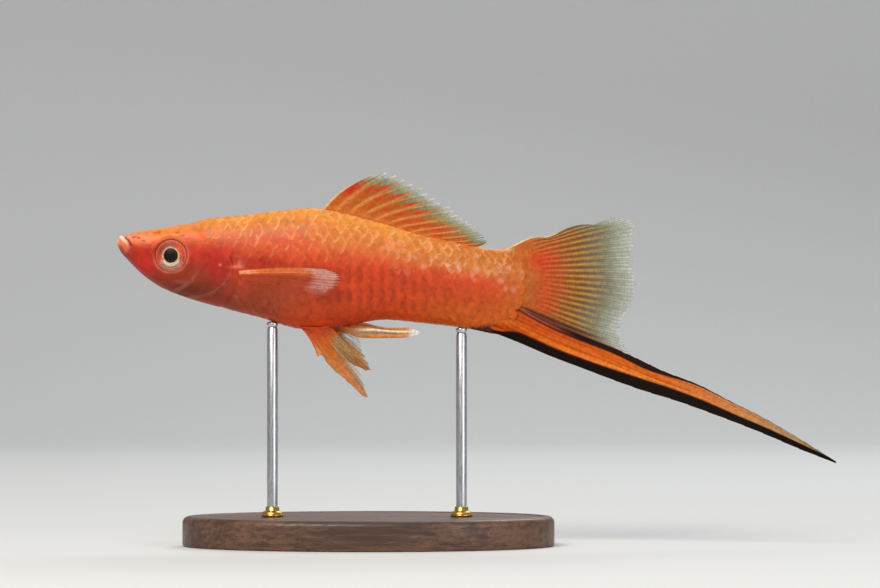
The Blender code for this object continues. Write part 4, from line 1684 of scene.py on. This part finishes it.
@dataclass
class BackFin(RayFin):
    """The back fin, with red-orange flames in the web between its rays."""

    def tint(self, paint: Paint, a: Array, b: Array, ridge: Array) -> None:
        """Adds flames half way up the web, of a different length in each gap, and a painted highlight along
        the leading edge.

        Args:
            paint: The fin's paint so far.
            a: Place across the rays.
            b: Place from root to tip.
            ridge: How much of it is ray; not used here.
        """
        ray, off = self.phase(a)
        for shift, seed, strength in ((0.27, 3, 1.0), (-0.28, 8, 1.0), (0.5, 13, 0.8)):
            chance = scatter(ray, seed)
            middle = 0.62 - 0.22 * smooth(0.05, 0.5, a) + 0.34 * (chance - 0.5)
            length = 0.11 + 0.12 * scatter(ray, seed + 1)
            wide = 0.15 + 0.08 * smooth(0.3, 0.05, a)
            flame = strength * bell(off - shift, wide) * bell(b - middle, length) * (0.6 + 0.4 * chance)
            paint.lay("#BE2408", 0.98 * flame)
            paint.cover = np.clip(paint.cover + 0.4 * flame, 0, 1)
        paint.lay("#B41E10", 0.85 * bell(a - 0.035, 0.03) * bell(b - 0.56, 0.17))
        # A pale painted highlight along the leading edge.
        paint.lay("#EDC08A", 0.8 * smooth(0.014, 0.004, a))


@dataclass
class TailFan(RayFin):
    """The tail's fan, with a red patch near its root and dusky lines between its rays.

    "top_steps" moves the top edge off its ray from root to tip, as far in as top_share.
    """

    top_steps: tuple = (
        (0.0, 0.0), (0.26, 0.1), (0.3, -0.1), (0.37, -0.6), (0.42, -0.6), (0.5, -0.35), (0.72, -0.15),
        (0.76, -0.3), (0.83, -0.62), (0.88, -0.4), (1.0, 0.25),
    )
    top_share: float = 0.14

    def fullness(self, a: Array) -> Array:
        """Share of the root's flesh: a circle's rise from the top edge, and thinner beside the sword."""
        return (1 - np.clip(1 - a / 0.73, 0, 1) ** 2) ** 0.5 * (1 - 0.5 * smooth(0.86, 1.0, a))

    def middle(self, root: Array, tip: Array, a: Array, b: Array) -> Array:
        """Points in side view, with the top edge stepped where its short outer rays end.

        Args:
            root: Points of the root.
            tip: Points of the edge.
            a: Place across the rays.
            b: Place from root to tip.

        Returns:
            (..., 2) points.
        """
        flat = super().middle(root, tip, a, b)
        stepped = through(self.top_steps, b) * np.clip(1 - a / self.top_share, 0, 1)
        return flat + stacked(np.zeros_like(stepped), stepped)

    def face(self, b: Array, a: Array, side: int) -> Array:
        """Points on one face of the fan.

        Args:
            b: Where they lie from root to tip.
            a: Where they lie from top to foot.
            side: 1 for the fish's right, -1 for its left.

        Returns:
            (..., 3) points.
        """
        flat = self.middle(path(self.root, a), path(self.tip, a), a, b)
        out = self.billows(a, b) + side * self.half_thickness(np.ones_like(b), a, b)
        return stacked(flat[..., 0], out, flat[..., 1])

    def tint(self, paint: Paint, a: Array, b: Array, ridge: Array) -> None:
        """Adds the red patch, the dark gaps between rays and the dusky foot beside the sword.

        Args:
            paint: The fin's paint so far.
            a: Place across the rays.
            b: Place from root to tip.
            ridge: How much of it is ray.
        """
        waver = 0.08 * (scatter(np.round(a * (self.rays - 1) * 2), 6) - 0.5)
        patch = smooth(0.46, 0.3, b + waver) * smooth(0.09, 0.22, b)
        patch = patch * smooth(0.12, 0.3, a) * smooth(0.98, 0.8, a)
        paint.lay("#BC4214", 0.6 * patch)
        paint.lay("#CC2A0E", 0.55 * bell(a - 0.3, 0.1) * bell(b - 0.2, 0.15))
        gaps = (1 - ridge) ** 2 * smooth(0.18, 0.5, b) * smooth(0.95, 0.7, b)
        paint.lay("#543008", 0.55 * gaps)
        foot = smooth(0.87, 0.93, a)
        paint.lay("#5E2A18", 0.75 * foot * smooth(0.9, 0.5, b) * smooth(0.0, 0.2, b))
        line = bell(a - 0.938, 0.014) * smooth(0.85, 0.6, b) * smooth(0.02, 0.12, b)
        paint.lay("#24100C", 0.85 * line)
        paint.lay("#F4E0A8", 0.85 * smooth(0.025, 0.008, a) * smooth(0.6, 0.4, b))
        paint.cover = np.clip(paint.cover + 0.3 * foot * smooth(0.9, 0.5, b), 0, 1)


@dataclass
class BreastFin(RayFin):
    """A breast fin: a bright first ray, a nearly clear web and pearly tips."""

    def tint(self, paint: Paint, a: Array, b: Array, ridge: Array) -> None:
        """Brightens the first ray and the tips of the upper rays.

        Args:
            paint: The fin's paint so far.
            a: Place across the rays.
            b: Place from root to tip.
            ridge: How much of it is ray.
        """
        first = smooth(0.32, 0.18, a)
        paint.lay("#DC7238", 0.9 * first * smooth(0.9, 0.6, b))
        paint.lay("#E8A684", 0.4 * first * smooth(0.2, 0.05, b))
        pearl = smooth(0.7, 0.82, b) * smooth(0.66, 0.42, a)
        paint.lay("#C28A7C", 0.95 * pearl)
        low = smooth(0.45, 0.85, a)
        cover = np.maximum(paint.cover * (1 - 0.94 * low), 0.95 * first)
        paint.cover = np.clip(cover + pearl * (0.4 + 0.22 * ridge), 0, 1)


@dataclass
class BellyFin(RayFin):
    """A belly fin: stout orange front rays drawn out to a point, and a clear hind web."""

    clear_from: float = 0.36
    clear_to: float = 0.62

    def tint(self, paint: Paint, a: Array, b: Array, ridge: Array) -> None:
        """Clears the web towards the hind edge.

        Args:
            paint: The fin's paint so far.
            a: Place across the rays.
            b: Place from root to tip.
            ridge: How much of it is ray.
        """
        hind = smooth(self.clear_from, self.clear_to, a) * smooth(0.22, 0.5, b)
        paint.lay("#B2AC88", 0.75 * hind)
        stout = smooth(0.46, 0.3, a)
        paint.lay("#A83210", 0.8 * smooth(0.2, 0.0, b))
        paint.lay("#B86C3E", 0.8 * stout * smooth(0.3, 0.8, b))
        paint.lay("#C23A18", 0.8 * smooth(0.09, 0.03, a) * smooth(0.9, 0.5, b))
        paint.cover = np.clip(paint.cover - 0.72 * hind * (1 - 0.2 * ridge) + 0.6 * stout, 0.1, 1)


@dataclass
class Sword:
    """The tail's sword: long rays in an orange band between two black borders, drawn out to a point.

    P(a, b) lies between the lower and the upper edge line, with b from root to tip and a from the lower
    edge to the upper one.
    """

    lower: tuple = (
        (61.6, -14.9), (63.8, -15.8), (67.2, -17.15), (72.2, -19.3), (77.2, -21.2), (87.2, -24.9),
        (93.9, -27.0), (99.7, -29.1), (107.2, -32.0), (113.9, -34.85), (119.9, -37.2),
    )
    upper: tuple = (
        (67.0, -10.85), (72.2, -13.65), (77.2, -15.8), (83.9, -18.4), (87.2, -19.95), (90.6, -21.6),
        (97.2, -24.2), (102.2, -26.8), (108.1, -29.75), (113.9, -33.15), (120.0, -36.95),
    )
    form: BodyForm = BodyForm()
    rows: int = 260
    columns: int = 61
    rays: int = 9
    root_half: float = 0.75
    edge_half: float = 0.07
    ray_half: float = 0.12
    tooth: float = 0.07
    teeth: float = 19.0
    lower_border: tuple = (
        (62.0, 0.2), (64.0, 0.7), (66.5, 1.6), (69.0, 1.72), (74.0, 1.6), (80.0, 1.7), (84.0, 1.92),
        (90.0, 2.0), (94.0, 1.88), (98.0, 1.72), (101.0, 1.5), (104.0, 1.3), (110.0, 1.15), (114.0, 1.0),
        (120.0, 0.5),
    )
    upper_border: tuple = (
        (66.0, 0.5), (70.0, 0.8), (75.0, 0.85), (80.0, 0.9), (84.0, 1.0), (88.0, 1.12), (91.0, 0.68),
        (94.5, 0.38), (98.0, 0.24), (104.0, 0.08), (110.0, 0.03), (120.0, 0.02),
    )
    stops: tuple = (
        (64.0, "#B04608"), (75.0, "#BE5008"), (90.0, "#CA641A"), (99.0, "#C4723A"), (106.0, "#B07C50"),
        (112.0, "#98805C"), (120.0, "#6E6A50"),
    )

    def shape(self) -> Shape:
        """The closed sword, with a rounded crest on each long ray.

        Returns:
            The sword with its paint.
        """
        b = np.linspace(0, 1, self.rows)
        a = np.linspace(0, 1, self.columns)[None, :]
        low, high = path(self.lower, b), path(self.upper, b)
        ragged = smooth(0.25, 0.4, b) * smooth(1.0, 0.93, b)
        low[:, 1] += self.tooth * ragged * ((b * self.teeth) % 1 - 0.5)
        high[:, 1] += self.tooth * ragged * (0.5 - (b * self.teeth * 1.3) % 1)
        flat = low[:, None] * (1 - a[..., None]) + high[:, None] * a[..., None]
        share = b[:, None]
        back = self.form.stalk_end(flat[0, :, 1]) - 0.7 - flat[0, :, 0]
        flat[..., 0] = flat[..., 0] + np.minimum(back, 2.5) * smooth(0.0, 0.5, a) * smooth(0.05, 0.0, share)
        crest = 0.5 + 0.5 * np.cos(2 * math.pi * a * self.rays + 3 * share)
        taper = np.sin(math.pi * np.clip(a, 0.0, 1.0)) ** 0.5
        half = self.edge_half + self.ray_half * crest * taper * (1 - 0.6 * share)
        half = half + (self.root_half - self.edge_half) * taper**0.5 * smooth(0.1, -0.01, share)
        half = half * (1 - 0.5 * smooth(0.9, 1.0, share))
        side = stacked(np.zeros_like(half), half, np.zeros_like(half))
        sheet = stacked(flat[..., 0], np.zeros(half.shape), flat[..., 1])
        points, faces = slab(sheet, side)
        along = flat[..., 0]
        colour = self.paint(flat, through(self.lower, along), through(self.upper, along), crest)
        length = np.linalg.norm(high[-1] - high[0])
        web = stacked(a * self.rays, share * length).reshape(-1, 2)
        values = {"Cover": np.ones(len(points)), "Ray": twice((crest * 0.05).ravel())}
        return Shape(points, faces, {"Paint": twice(colour.reshape(-1, 3))}, values, {"Web": twice(web)})

    def paint(self, flat: Array, low: Array, high: Array, crest: Array) -> Array:
        """Orange with lighter rays, then the borders by the upright distance from each edge.

        Args:
            flat: (..., 2) points of the sword in side view.
            low: Height of the lower edge under each point.
            high: Height of the upper edge over each point.
            crest: How much of a point is ray.

        Returns:
            Linear colours, (..., 3).
        """
        along, level = flat[..., 0], flat[..., 1]
        across = (level - low) / np.maximum(high - low, 0.01)
        streak = mottle(stacked(along / 14, 9 * across, 0 * across), 1.0, 21)
        paint = Paint(graded(self.stops, along))
        paint.lay("#E8903E", 0.55 * smooth(0.0, 0.7, streak) + 0.05 * crest**2)
        paint.lay("#922C06", 0.5 * smooth(0.0, -0.7, streak) + 0.12 * (1 - crest) ** 3)
        under, over = level - low + 0.05 * streak, high - level + 0.08 * streak
        paint.lay("#B42E22", 0.22 * bell(across - 0.7, 0.14) * smooth(88, 76, along))
        deep, thin = through(self.lower_border, along), through(self.upper_border, along)
        near_root = smooth(82, 73, along) * smooth(66.0, 67.5, along)
        paint.lay("#7E4038", 0.65 * smooth(1.15, 0.85, over) * near_root)
        twin = bell(over - 0.2, 0.2) + bell(over - 0.85, 0.2)
        paint.lay("#3C1A16", 0.9 * twin * near_root)
        paint.lay("#0A0504", 0.97 * smooth(1.2, 0.85, over / thin) * smooth(71, 77, along))
        paint.lay("#050302", 0.99 * smooth(1.1, 0.88, under / deep) * smooth(60.0, 61.5, along))
        return paint.colour

    def build(self, material: bpy.types.Material) -> None:
        """Makes the sword, which stands for its solid."""
        self.shape().made("sword", material, "sword", ("tail_sword",))


@dataclass
class RodFin(RayFin):
    """The male's rod-like anal fin: a stout pale shaft with thin orange fringes and a silvery tip."""

    shaft: tuple = ((0.0, 0.4), (0.25, 0.5), (0.5, 0.7), (0.75, 0.6), (1.0, 0.55))
    columns: int = 41
    length: float = 12.0

    def half_thickness(self, ridge: Array, a: Array, b: Array) -> Array:
        """A thick shaft a little above the middle, a thin fringe beside it and a round root.

        Args:
            ridge: Not used here, because the rod has no separate rays.
            a: Place across the rays.
            b: Place from root to tip.

        Returns:
            Millimetres on either side of the middle surface.
        """
        body = 0.36 * bell(a - through(self.shaft, b), 0.2) + 0.16 * bell(a - 0.15, 0.16)
        root = 0.3 * smooth(0.2, 0.0, b) * (1 - np.abs(2 * a - 1))
        return 0.07 + body * (1 - 0.7 * smooth(0.6, 1.0, b)) + root

    def outline(self, a: Array) -> tuple:
        """Here the grid runs along the rod: a crosses it, and root and tip are its two ends."""
        return path(self.root, a), path(self.tip, a)

    def sheet(self) -> tuple:
        """The rod's middle surface between its lower and its upper edge line.

        Returns:
            (rows, columns, 3) points, their a and b, and each column's length.
        """
        b = np.linspace(0, 1, self.rows)
        a = np.linspace(0, 1, self.columns)[None, :]
        low, high = path(self.root, b), path(self.tip, b)
        flat = low[:, None] * (1 - a[..., None]) + high[:, None] * a[..., None]
        a = np.broadcast_to(a, flat.shape[:2])
        grid = stacked(flat[..., 0], np.zeros(flat.shape[:2]), flat[..., 1])
        return grid, a, np.broadcast_to(b[:, None], a.shape), np.full(a.shape[1], self.length)

    def tint(self, paint: Paint, a: Array, b: Array, ridge: Array) -> None:
        """Cream shaft, orange fringes and a silver tip.

        Args:
            paint: The fin's paint so far.
            a: Place across the rays.
            b: Place from root to tip.
            ridge: How much of it is ray; not used here.
        """
        off = a - through(self.shaft, b)
        under = bell(off + 0.2, 0.12) * smooth(0.1, 0.3, b) * smooth(0.75, 0.5, b)
        paint.lay("#9A857C", 0.75 * under)
        paint.lay("#EFE0BC", 0.97 * bell(off, 0.11) * smooth(0.12, 0.4, b))
        paint.lay("#74441E", 0.7 * bell(a - 0.84, 0.07) * smooth(0.85, 0.6, b))
        paint.lay("#DCDAD6", smooth(0.84, 0.92, b))


# The stand


@dataclass
class Plinth:
    """The wooden base: an oval whose rim is rolled over above and eased below."""

    length: float = 62.0
    width: float = 36.0
    thickness: float = 5.0
    middle: float = 42.0
    sides: int = 160
    roll: float = 1.1
    ease: float = 0.35
    dish: float = 0.12

    def build(self, material: bpy.types.Material) -> None:
        """Carries the rim's profile round the oval, and closes it with flat fans.

        Args:
            material: Its finish.
        """
        turn = np.linspace(0, math.pi / 2, 9)[1:]
        top, sunk = self.thickness, self.thickness - self.dish
        inset = [[self.ease, 0.1, 0.0, 0.0], self.roll * (1 - np.cos(turn)), [2.2, 2.3, 2.4]]
        level = [[0.0, 0.1, self.ease, top - self.roll], top - self.roll * (1 - np.sin(turn))]
        level.append([top, sunk, sunk])
        inset, level = np.concatenate(inset), np.concatenate(level)
        angle = np.linspace(0, 2 * math.pi, self.sides, endpoint=False)
        along = self.middle + (self.length / 2 - inset[:, None]) * np.cos(angle)
        side = (self.width / 2 - inset[:, None]) * np.sin(angle)
        height = np.repeat(level[:, None] - SNOUT_HEIGHT, self.sides, axis=1)
        rings = stacked(along, side, height).reshape(-1, 3)
        ends = [(self.middle, 0, -SNOUT_HEIGHT), (self.middle, 0, sunk - SNOUT_HEIGHT)]
        shape = Shape(np.concatenate([rings, ends]), capped(len(level), self.sides))
        shape.made("plinth", material, "base_wood", ("stand_base",))


@dataclass
class Rod:
    """One upright rod with a turned ring at its foot and a soft rounded cup under the belly."""

    name: str
    along: float
    node: str
    radius: float = 0.9
    foot: float = 4.9
    neck: float = 0.86
    sides: int = 40
    form: BodyForm = BodyForm()

    def build(self, steel: bpy.types.Material, brass: bpy.types.Material) -> None:
        """Makes the rod and the ring, each turned about the upright axis.

        Args:
            steel: Finish of the rod.
            brass: Finish of the ring.
        """
        middle = (self.along, 0, 0)
        top = float(through(self.form.belly, self.along)) + 0.12
        foot = self.foot - SNOUT_HEIGHT
        bead = np.linspace(0, math.pi / 2, 6)
        r, neck = self.radius, self.radius * self.neck
        rod = [(0, foot), (r, foot), (r, foot + 0.05), (r, top - 1.3), (neck, top - 1.1), (neck, top - 0.9)]
        rod += [(neck + 0.14 * math.sin(t), top - 0.75 - 0.15 * math.cos(t)) for t in bead]
        rod += [(r * 1.1 * math.cos(t), top - 0.35 + 0.35 * math.sin(t)) for t in bead]
        turned(np.array(rod), self.sides, middle).made(self.name, steel, "rod_steel", (self.node,))
        ring = [(0, foot), (1.9 * r, foot), (2.05 * r, foot + 0.12), (2.05 * r, foot + 0.45)]
        ring += [(1.35 * r + 0.7 * r * math.cos(t), foot + 0.45 + 0.5 * math.sin(t)) for t in bead]
        ring += [(1.3 * r, foot + 1.0), (1.25 * r, foot + 1.6), (1.05 * r, foot + 1.7), (0, foot + 1.7)]
        turned(np.array(ring), self.sides, middle).made(self.name + "_ring", brass, "rod_steel")


# The studio


@dataclass
class Studio:
    """Pale paper sweep, soft lamps and the camera at the photograph's angle and framing."""

    view_width: float = 146.67
    view_middle: tuple = (-6.08, 42.0)
    lens: float = 180.0
    sensor: float = 36.0
    paper_x: float = 2000.0
    paper_front: float = 1500.0
    paper_back: float = 500.0
    paper_bend: float = 400.0
    paper_top: float = 1800.0
    lamps: tuple = (
        ("key", (-0.22, -0.42, 0.50), 0.36, 3.8, "#FFF6EA"),
        ("fill", (0.42, -0.45, 0.20), 0.35, 1.2, "#EAF2FF"),
        ("rim", (0.15, 0.40, 0.45), 0.30, 1.2, "#FFFFFF"),
    )
    aim: tuple = (-0.01, 0, 0.045)

    def build(self) -> None:
        """Makes the paper, the world's light, the lamps and the camera."""
        self.paper()
        self.world()
        for lamp in self.lamps:
            self.lamp(*lamp)
        self.camera()

    def paper(self) -> None:
        """The sweep: flat in front, then a quarter circle up to an upright back."""
        bend = np.linspace(0, math.pi / 2, 24)
        radius, back = self.paper_bend, self.paper_back
        y = np.concatenate([[-self.paper_front, 0.0], back + radius * np.sin(bend), [back + radius]])
        z = np.concatenate([[0.0, 0.0], radius * (1 - np.cos(bend)), [self.paper_top]])
        x = np.array([-self.paper_x, self.paper_x])
        grid = stacked(x[None, :], y[:, None], z[:, None]).reshape(-1, 3)
        mesh = bpy.data.meshes.new("paper_sweep")
        mesh.from_pydata((grid * METRES).tolist(), [], net(len(y), 2).tolist())
        mesh.shade_smooth()
        mesh.materials.append(StudioPaper("seamless_paper", (0.8, 0.9)).made())
        sweep = bpy.data.objects.new("paper_sweep", mesh)
        bpy.context.scene.collection.objects.link(sweep)

    def world(self) -> None:
        """An even pale light from all round."""
        world = bpy.data.worlds.new("studio")
        world.use_nodes = True
        light = world.node_tree.nodes["Background"]
        light.inputs["Color"].default_value = (*linear("#F2F2F2"), 1)
        light.inputs["Strength"].default_value = 0.4
        bpy.context.scene.world = world

    def lamp(self, name: str, at: tuple, size: float, power: float, tint: str) -> None:
        """A square soft lamp that faces the fish.

        Args:
            name: Its name.
            at: Its place, in metres.
            size: Its width, in metres.
            power: Its power, in watts.
            tint: Its colour as sRGB hex.
        """
        light = bpy.data.lights.new(name, "AREA")
        light.size = size
        light.energy = power
        light.color = tuple(linear(tint))
        lamp = bpy.data.objects.new(name, light)
        lamp.location = at
        x, y, z = np.array(self.aim) - at
        lamp.rotation_euler = (math.atan2(math.hypot(x, y), -z), 0, math.atan2(-x, y))
        bpy.context.scene.collection.objects.link(lamp)

    def camera(self) -> None:
        """A level camera that looks along +Y, as far away as the framing and the lens ask for."""
        data = bpy.data.cameras.new("camera")
        data.lens = self.lens
        data.sensor_width = self.sensor
        data.clip_start = 0.01
        distance = self.view_width * self.lens / self.sensor
        camera = bpy.data.objects.new("camera", data)
        camera.location = (self.view_middle[0] * METRES, -distance * METRES, self.view_middle[1] * METRES)
        camera.rotation_euler = (math.pi / 2, 0, 0)
        bpy.context.scene.collection.objects.link(camera)
        bpy.context.scene.camera = camera
        bpy.context.scene.view_settings.view_transform = "Standard"


def fins() -> list:
    """The ray fins with their sizes and colours.

    Returns:
        The fins.
    """
    form = BodyForm()
    along = np.linspace(34.35, 58.7, 9)
    back_root = tuple(zip(along, through(form.back, along) - 0.3))
    height = np.linspace(form.stalk_top - 0.1, -11.2, 8)
    fan_root = tuple(zip(form.stalk_end(height), height))
    made = [
        BackFin(
            "back_fin", "dorsal_fin", back_root,
            (
                (42.2, 10.8), (44.7, 11.3), (47.2, 10.7), (51.4, 8.6), (54.6, 6.3), (57.6, 4.0),
                (60.6, 1.9), (62.2, -0.2),
            ),
            13,
            ray_stops=(
                (0.0, "#C46A20"), (0.35, "#C87E38"), (0.7, "#B88640"), (0.84, "#A8986C"), (0.93, "#C6C2AE"),
                (1.0, "#E2E0D8"),
            ),
            web_stops=(
                (0.0, "#B85810"), (0.4, "#A85812"), (0.66, "#96601E"), (0.84, "#7E7E4C"), (1.0, "#94967C"),
            ),
            ray_cover=(1.0, 1.0, 0.95, 0.95, 0.95), web_cover=(1.0, 0.95, 0.88, 0.65, 0.35),
            parts=(0.25, 0.0), bow=(0.7, -0.5), billow=0.35, notch=1.2, ragged=0.7, root_half=0.42,
            rows=80, seed=2, spread=0.98,
        ),
        TailFan(
            "tail_fin", "tail_fan", fan_root,
            (
                (82.9, 3.8), (86.5, 2.7), (86.2, 0.0), (86.3, -4.0), (86.7, -8.2), (86.1, -10.8),
                (84.5, -13.6), (84.1, -15.8), (86.2, -19.5),
            ),
            22,
            ray_stops=(
                (0.0, "#B45E1C"), (0.3, "#B4601E"), (0.55, "#AC7A34"), (0.78, "#8A8660"), (1.0, "#C2C6BC"),
            ),
            web_stops=(
                (0.0, "#B05616"), (0.3, "#A44C10"), (0.55, "#7E581E"), (0.78, "#686C50"), (1.0, "#8E948A"),
            ),
            ray_cover=(1.0, 1.0, 1.0, 0.95, 0.7), web_cover=(1.0, 0.97, 0.9, 0.55, 0.2),
            parts=(0.25, 0.05), bow=(0.6, -0.4), billow=0.3, notch=0.75, ragged=0.6, root_half=0.85,
            flesh_end=0.34, ray_half=0.15, rows=90, seed=5, ray_width=0.27,
        ),
    ]
    for side in Side:
        made.append(BreastFin(
            f"breast_fin_{side.hand}", f"pectoral_fin_{side.hand}",
            ((21.3, -5.1), (21.5, -6.4), (21.5, -7.7)),
            ((35.5, -4.9), (37.8, -6.2), (36.8, -8.0), (34.6, -9.6), (31.0, -10.9)),
            11,
            ray_stops=((0.0, "#C04A1C"), (0.5, "#B04C22"), (1.0, "#C47C68")),
            web_stops=((0.0, "#BC4418"), (0.5, "#A4441C"), (1.0, "#B4705E")),
            ray_cover=(0.62, 0.5, 0.14, 0.12), web_cover=(0.55, 0.42, 0.08, 0.04), parts=(0.25, 0.0),
            jointed=0.25, bow=(0.35, 0.0), side_root=side.value * 4.75, side_tip=side.value * 7.6,
            billow=0.2, notch=0.8, root_half=0.3, ray_half=0.09, seed=7,
        ))
    belly = {
        "ray_cover": (1.0, 1.0, 0.9), "web_cover": (1.0, 0.85, 0.5), "parts": (0.25, 0.0), "spread": 0.9,
        "bow": (0.3, 0.0), "billow": 0.25, "root_half": 0.75, "flesh_end": 0.3,
    }
    made.append(BellyFin(
        "belly_fin_left", "pelvic_fin_left",
        ((31.0, -14.9), (33.4, -15.0), (36.0, -14.75)),
        (
            (33.9, -19.9), (34.5, -19.45), (35.5, -20.85), (38.2, -23.25), (42.0, -26.35), (41.3, -24.2),
            (40.4, -21.0), (39.2, -18.4),
        ),
        7,
        ray_stops=((0.0, "#BC4410"), (0.5, "#BC5E20"), (1.0, "#B48458")),
        web_stops=((0.0, "#B44A10"), (0.5, "#AA6418"), (1.0, "#948448")),
        side_root=-1.1, side_tip=-3.4, notch=0.45, seed=9, **belly,
    ))
    made.append(BellyFin(
        "belly_fin_right", "pelvic_fin_right",
        ((32.0, -15.0), (34.4, -15.0), (37.6, -14.6)),
        ((35.4, -18.8), (38.2, -20.4), (42.4, -21.8), (41.4, -19.6), (41.0, -18.2), (40.4, -16.6)),
        7,
        ray_stops=((0.0, "#BE5614"), (0.5, "#CA8026"), (1.0, "#CA9A6A")),
        web_stops=((0.0, "#B85C12"), (0.5, "#C07E1E"), (1.0, "#B09254")),
        side_root=1.1, side_tip=3.6, notch=0.5, seed=4, clear_from=0.5, clear_to=0.74, **belly,
    ))
    rod = ((0.0, "#B04C1C"), (0.3, "#BC7638"), (0.8, "#C0804A"), (1.0, "#C9C4BC"))
    made.append(RodFin(
        "rod_fin", "gonopodium",
        (
            (36.4, -14.5), (38.2, -15.4), (40.0, -16.15), (42.4, -16.35), (45.0, -16.35), (47.4, -16.3),
            (48.9, -16.2), (50.7, -15.5),
        ),
        (
            (37.6, -13.9), (39.6, -13.8), (41.6, -13.85), (43.0, -14.2), (44.6, -14.55), (47.0, -14.65),
            (49.0, -14.65), (50.7, -15.4),
        ),
        3, ray_stops=rod, web_stops=rod, ray_cover=(1.0, 1.0), web_cover=(1.0, 1.0), rows=90,
    ))
    return made


def main() -> None:
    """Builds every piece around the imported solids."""
    logging.basicConfig(level=logging.INFO, format="%(name)s %(message)s")
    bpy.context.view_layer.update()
    coat = ScaleCoat()
    Skin().build(coat)
    made = fins()
    coat.build(next(fin for fin in made if isinstance(fin, TailFan)))
    ball = EyeBall("iris_and_lens", (0.35, 0.5), specular=0.15).made()
    window = Cornea("wet_cornea", (0.28, 0.28)).made()
    for side in Side:
        Eye(side).build(ball, window)
    web = FinWeb("fin_ray_and_web", (0.4, 0.55), coat=0.06, coat_roughness=0.2, specular=0.2).made()
    for fin in made:
        fin.build(web)
    dark = FinWeb("sword_ray_and_web", (0.5, 0.6), coat=0.02, coat_roughness=0.3, specular=0.07).made()
    Sword().build(dark)
    Plinth().build(Walnut("oiled_walnut", (0.38, 0.55), coat=0.15, coat_roughness=0.3).made())
    steel = DrawnMetal("drawn_steel", (0.22, 0.36), metallic=1.0).made()
    brass = DrawnMetal("turned_brass", (0.2, 0.34), metallic=1.0, tint="#D0A85C", lines=(1.0, 1.0, 12.0))
    brass = brass.made()
    Rod("rod_front", 26.0, "stand_rod_front").build(steel, brass)
    Rod("rod_rear", 57.5, "stand_rod_rear").build(steel, brass)
    Studio().build()
    bpy.context.view_layer.update()


if __name__ == "__main__":
    main()
